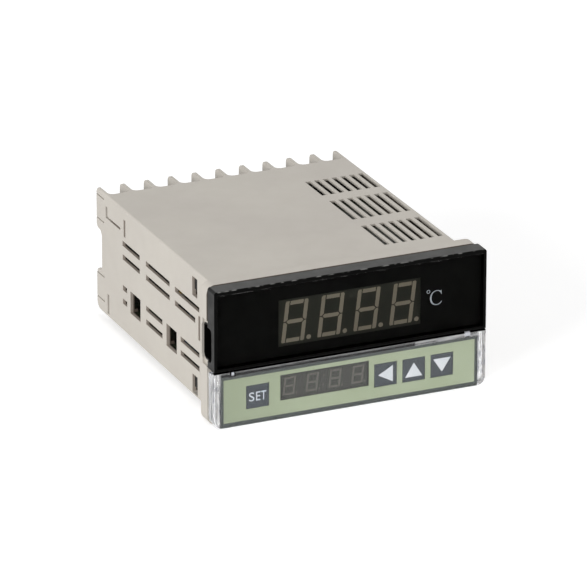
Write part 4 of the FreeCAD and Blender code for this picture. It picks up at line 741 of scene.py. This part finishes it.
cover_finish, nodes, links, shader, place = clear("clear_polycarbonate", COVER_CLEAR,
                                                  COVER_INDEX, 0.0)
shader.inputs["Specular Tint"].default_value = COVER_GLOSS
coat(cover_finish, "front_cover")


def streaky(nodes, links, place, scale, stretch):
    """A soft random pattern drawn out along one axis."""
    drawn = nodes.new("ShaderNodeMapping")
    drawn.inputs["Scale"].default_value = stretch
    links.new(place, drawn.inputs["Vector"])
    return noise(nodes, links, drawn.outputs["Vector"], scale)


def larger(nodes, links, first, second):
    """The larger of two patterns."""
    either = nodes.new("ShaderNodeMath")
    either.operation = "MAXIMUM"
    links.new(first, either.inputs[0])
    links.new(second, either.inputs[1])
    return either.outputs[0]


# The two cheeks are painted with pale and dark streaks, and the hinge barrel with pale bands,
# strongest over its right third and in a thin line at its top: painted highlights and reflections.
# The cheeks' surface also ripples a little.
parts = nodes.new("ShaderNodeSeparateXYZ")
links.new(place, parts.inputs[0])
side = nodes.new("ShaderNodeMath")
side.operation = "ABSOLUTE"
links.new(parts.outputs["X"], side.inputs[0])
cheek = spread(nodes, links, side.outputs[0], 0.0, 1.0, *CHEEK_SIDE)
ripple_and_highlight = streaky(nodes, links, place, COVER_STREAKS, COVER_STREAK_STRETCH)
highlight_breaks = streaky(nodes, links, place, COVER_STREAKS, BREAK_STRETCH)
dark_reflection = spread(nodes, links, streaky(nodes, links, place, REFLECTION_STREAKS, REFLECTION_STRETCH),
                0.0, 1.0, *REFLECTION_ENDS)
tone = blend_colours(nodes, links, times(nodes, links, cheek, dark_reflection), COVER_CLEAR, COVER_DARK_REFLECTION)
painted_highlight = times(nodes, links, cheek, spread(nodes, links, ripple_and_highlight, 0.0, CHEEK_HIGHLIGHT))
uneven = spread(nodes, links, highlight_breaks, WEAKEST_HIGHLIGHT, 1.0)
for spans, amount in ((HINGE_BAND, HINGE_HIGHLIGHT), (LINE_BAND, LINE_HIGHLIGHT),
                      (RIGHT_HIGHLIGHT_BAND, RIGHT_HIGHLIGHT)):
    band = times(nodes, links, within(nodes, links, place, spans), amount)
    painted_highlight = larger(nodes, links, painted_highlight, times(nodes, links, band, uneven))
clearness = nodes.new("ShaderNodeMath")
clearness.operation = "SUBTRACT"
clearness.inputs[0].default_value = 1.0
links.new(painted_highlight, clearness.inputs[1])

# The top of its hinge barrel is painted black. That stands in for the bezel's lower edge, which
# reaches a little further down on the real unit than the solid does.
print_edge = spread(nodes, links, parts.outputs["Z"], 0.0, 1.0, *BLACK_BAND)
links.new(print_edge, shader.inputs["Metallic"])
links.new(blend_colours(nodes, links, print_edge, tone, COVER_BLACK),
          shader.inputs["Base Color"])
unprinted = spread(nodes, links, parts.outputs["Z"], 1.0, 0.0, *BLACK_BAND)
links.new(times(nodes, links, clearness.outputs[0], unprinted),
          shader.inputs["Transmission Weight"])
links.new(relief(nodes, links, times(nodes, links, cheek, ripple_and_highlight), RUN_DEPTH, RUN_STRENGTH),
          shader.inputs["Normal"])


# ---- Table, lamps and camera
# The unit stands on a plain white table in a white tent, with a large soft lamp at the left,
# a weaker one at the right and one overhead.

TABLE_WHITE = 0.80
TABLE_LIFT = 0.45
TENT_LIGHT = 0.42
TABLE_SIZE = 3.0
SENSOR_WIDTH = 36
CLIP_END = 20
LAMPS = (  # name, place, size and power
    ("left_lamp", (-1.6, -0.8, 0.6), 0.8, 24.4),
    ("right_lamp", (1.5, -1.2, 0.7), 0.8, 6.0),
    ("top_lamp", (0.1, 0.3, 1.7), 0.8, 6.0),
)
CAMERA_AIM = Vector((-0.00037025, 0.0340522, -0.00025792))
CAMERA_AZIMUTH = math.radians(-24.010)
CAMERA_ELEVATION = math.radians(21.763)
CAMERA_ROLL = math.radians(0.113)
CAMERA_DISTANCE = 2.213902
CAMERA_LENS = 414.8525

shape = bmesh.new()
bmesh.ops.create_grid(shape, x_segments=1, y_segments=1, size=TABLE_SIZE)
bmesh.ops.translate(shape, vec=(0, 0, cad_box[0][2]), verts=shape.verts)
table_top = bpy.data.objects.new("table_top", mesh_of(shape, "table_top"))
bpy.context.scene.collection.objects.link(table_top)


def seen(nodes, links):
    """One for rays that show the background: from the camera, gloss or clear plastic."""
    ray = nodes.new("ShaderNodeLightPath")
    found = ray.outputs["Is Camera Ray"]
    for output in ("Is Glossy Ray", "Is Transmission Ray"):
        found = larger(nodes, links, found, ray.outputs[output])
    return found


table_finish = bpy.data.materials.new("white_table")
table_finish.use_nodes = True
nodes = table_finish.node_tree.nodes
links = table_finish.node_tree.links
nodes.remove(nodes["Principled BSDF"])
matt = nodes.new("ShaderNodeBsdfDiffuse")
matt.inputs["Color"].default_value = (TABLE_WHITE, TABLE_WHITE, TABLE_WHITE, 1)
glow = nodes.new("ShaderNodeEmission")
lift = nodes.new("ShaderNodeMath")
lift.operation = "MULTIPLY"
lift.inputs[1].default_value = TABLE_LIFT
links.new(seen(nodes, links), lift.inputs[0])
links.new(lift.outputs[0], glow.inputs["Strength"])
both = nodes.new("ShaderNodeAddShader")
links.new(matt.outputs[0], both.inputs[0])
links.new(glow.outputs[0], both.inputs[1])
links.new(both.outputs[0], nodes["Material Output"].inputs["Surface"])
table_top.data.materials.append(table_finish)

tent = bpy.data.worlds.new("white_tent")
bpy.context.scene.world = tent
tent.use_nodes = True
nodes, links = tent.node_tree.nodes, tent.node_tree.links
strength = spread(nodes, links, seen(nodes, links), TENT_LIGHT, 1.0, 0.0, 1.0)
links.new(strength, nodes["Background"].inputs["Strength"])
nodes["Background"].inputs["Color"].default_value = (1, 1, 1, 1)

for name, spot, size, power in LAMPS:
    lamp = bpy.data.lights.new(name, "AREA")
    lamp.size = size
    lamp.energy = power
    holder = bpy.data.objects.new(name, lamp)
    bpy.context.scene.collection.objects.link(holder)
    holder.location = spot
    holder.rotation_euler = (CAMERA_AIM - Vector(spot)).to_track_quat("-Z", "Y").to_euler()

lens = bpy.data.cameras.new("camera")
lens.lens = CAMERA_LENS
lens.sensor_width = SENSOR_WIDTH
lens.clip_end = CLIP_END
camera = bpy.data.objects.new("camera", lens)
bpy.context.scene.collection.objects.link(camera)
back = Vector((math.sin(CAMERA_AZIMUTH) * math.cos(CAMERA_ELEVATION),
               -math.cos(CAMERA_AZIMUTH) * math.cos(CAMERA_ELEVATION),
               math.sin(CAMERA_ELEVATION)))
stand = back.to_track_quat("Z", "Y").to_matrix() @ Matrix.Rotation(CAMERA_ROLL, 3, "Z")
camera.matrix_world = Matrix.LocRotScale(CAMERA_AIM + back * CAMERA_DISTANCE, stand, None)
bpy.context.scene.camera = camera
bpy.context.scene.view_settings.view_transform = "Standard"
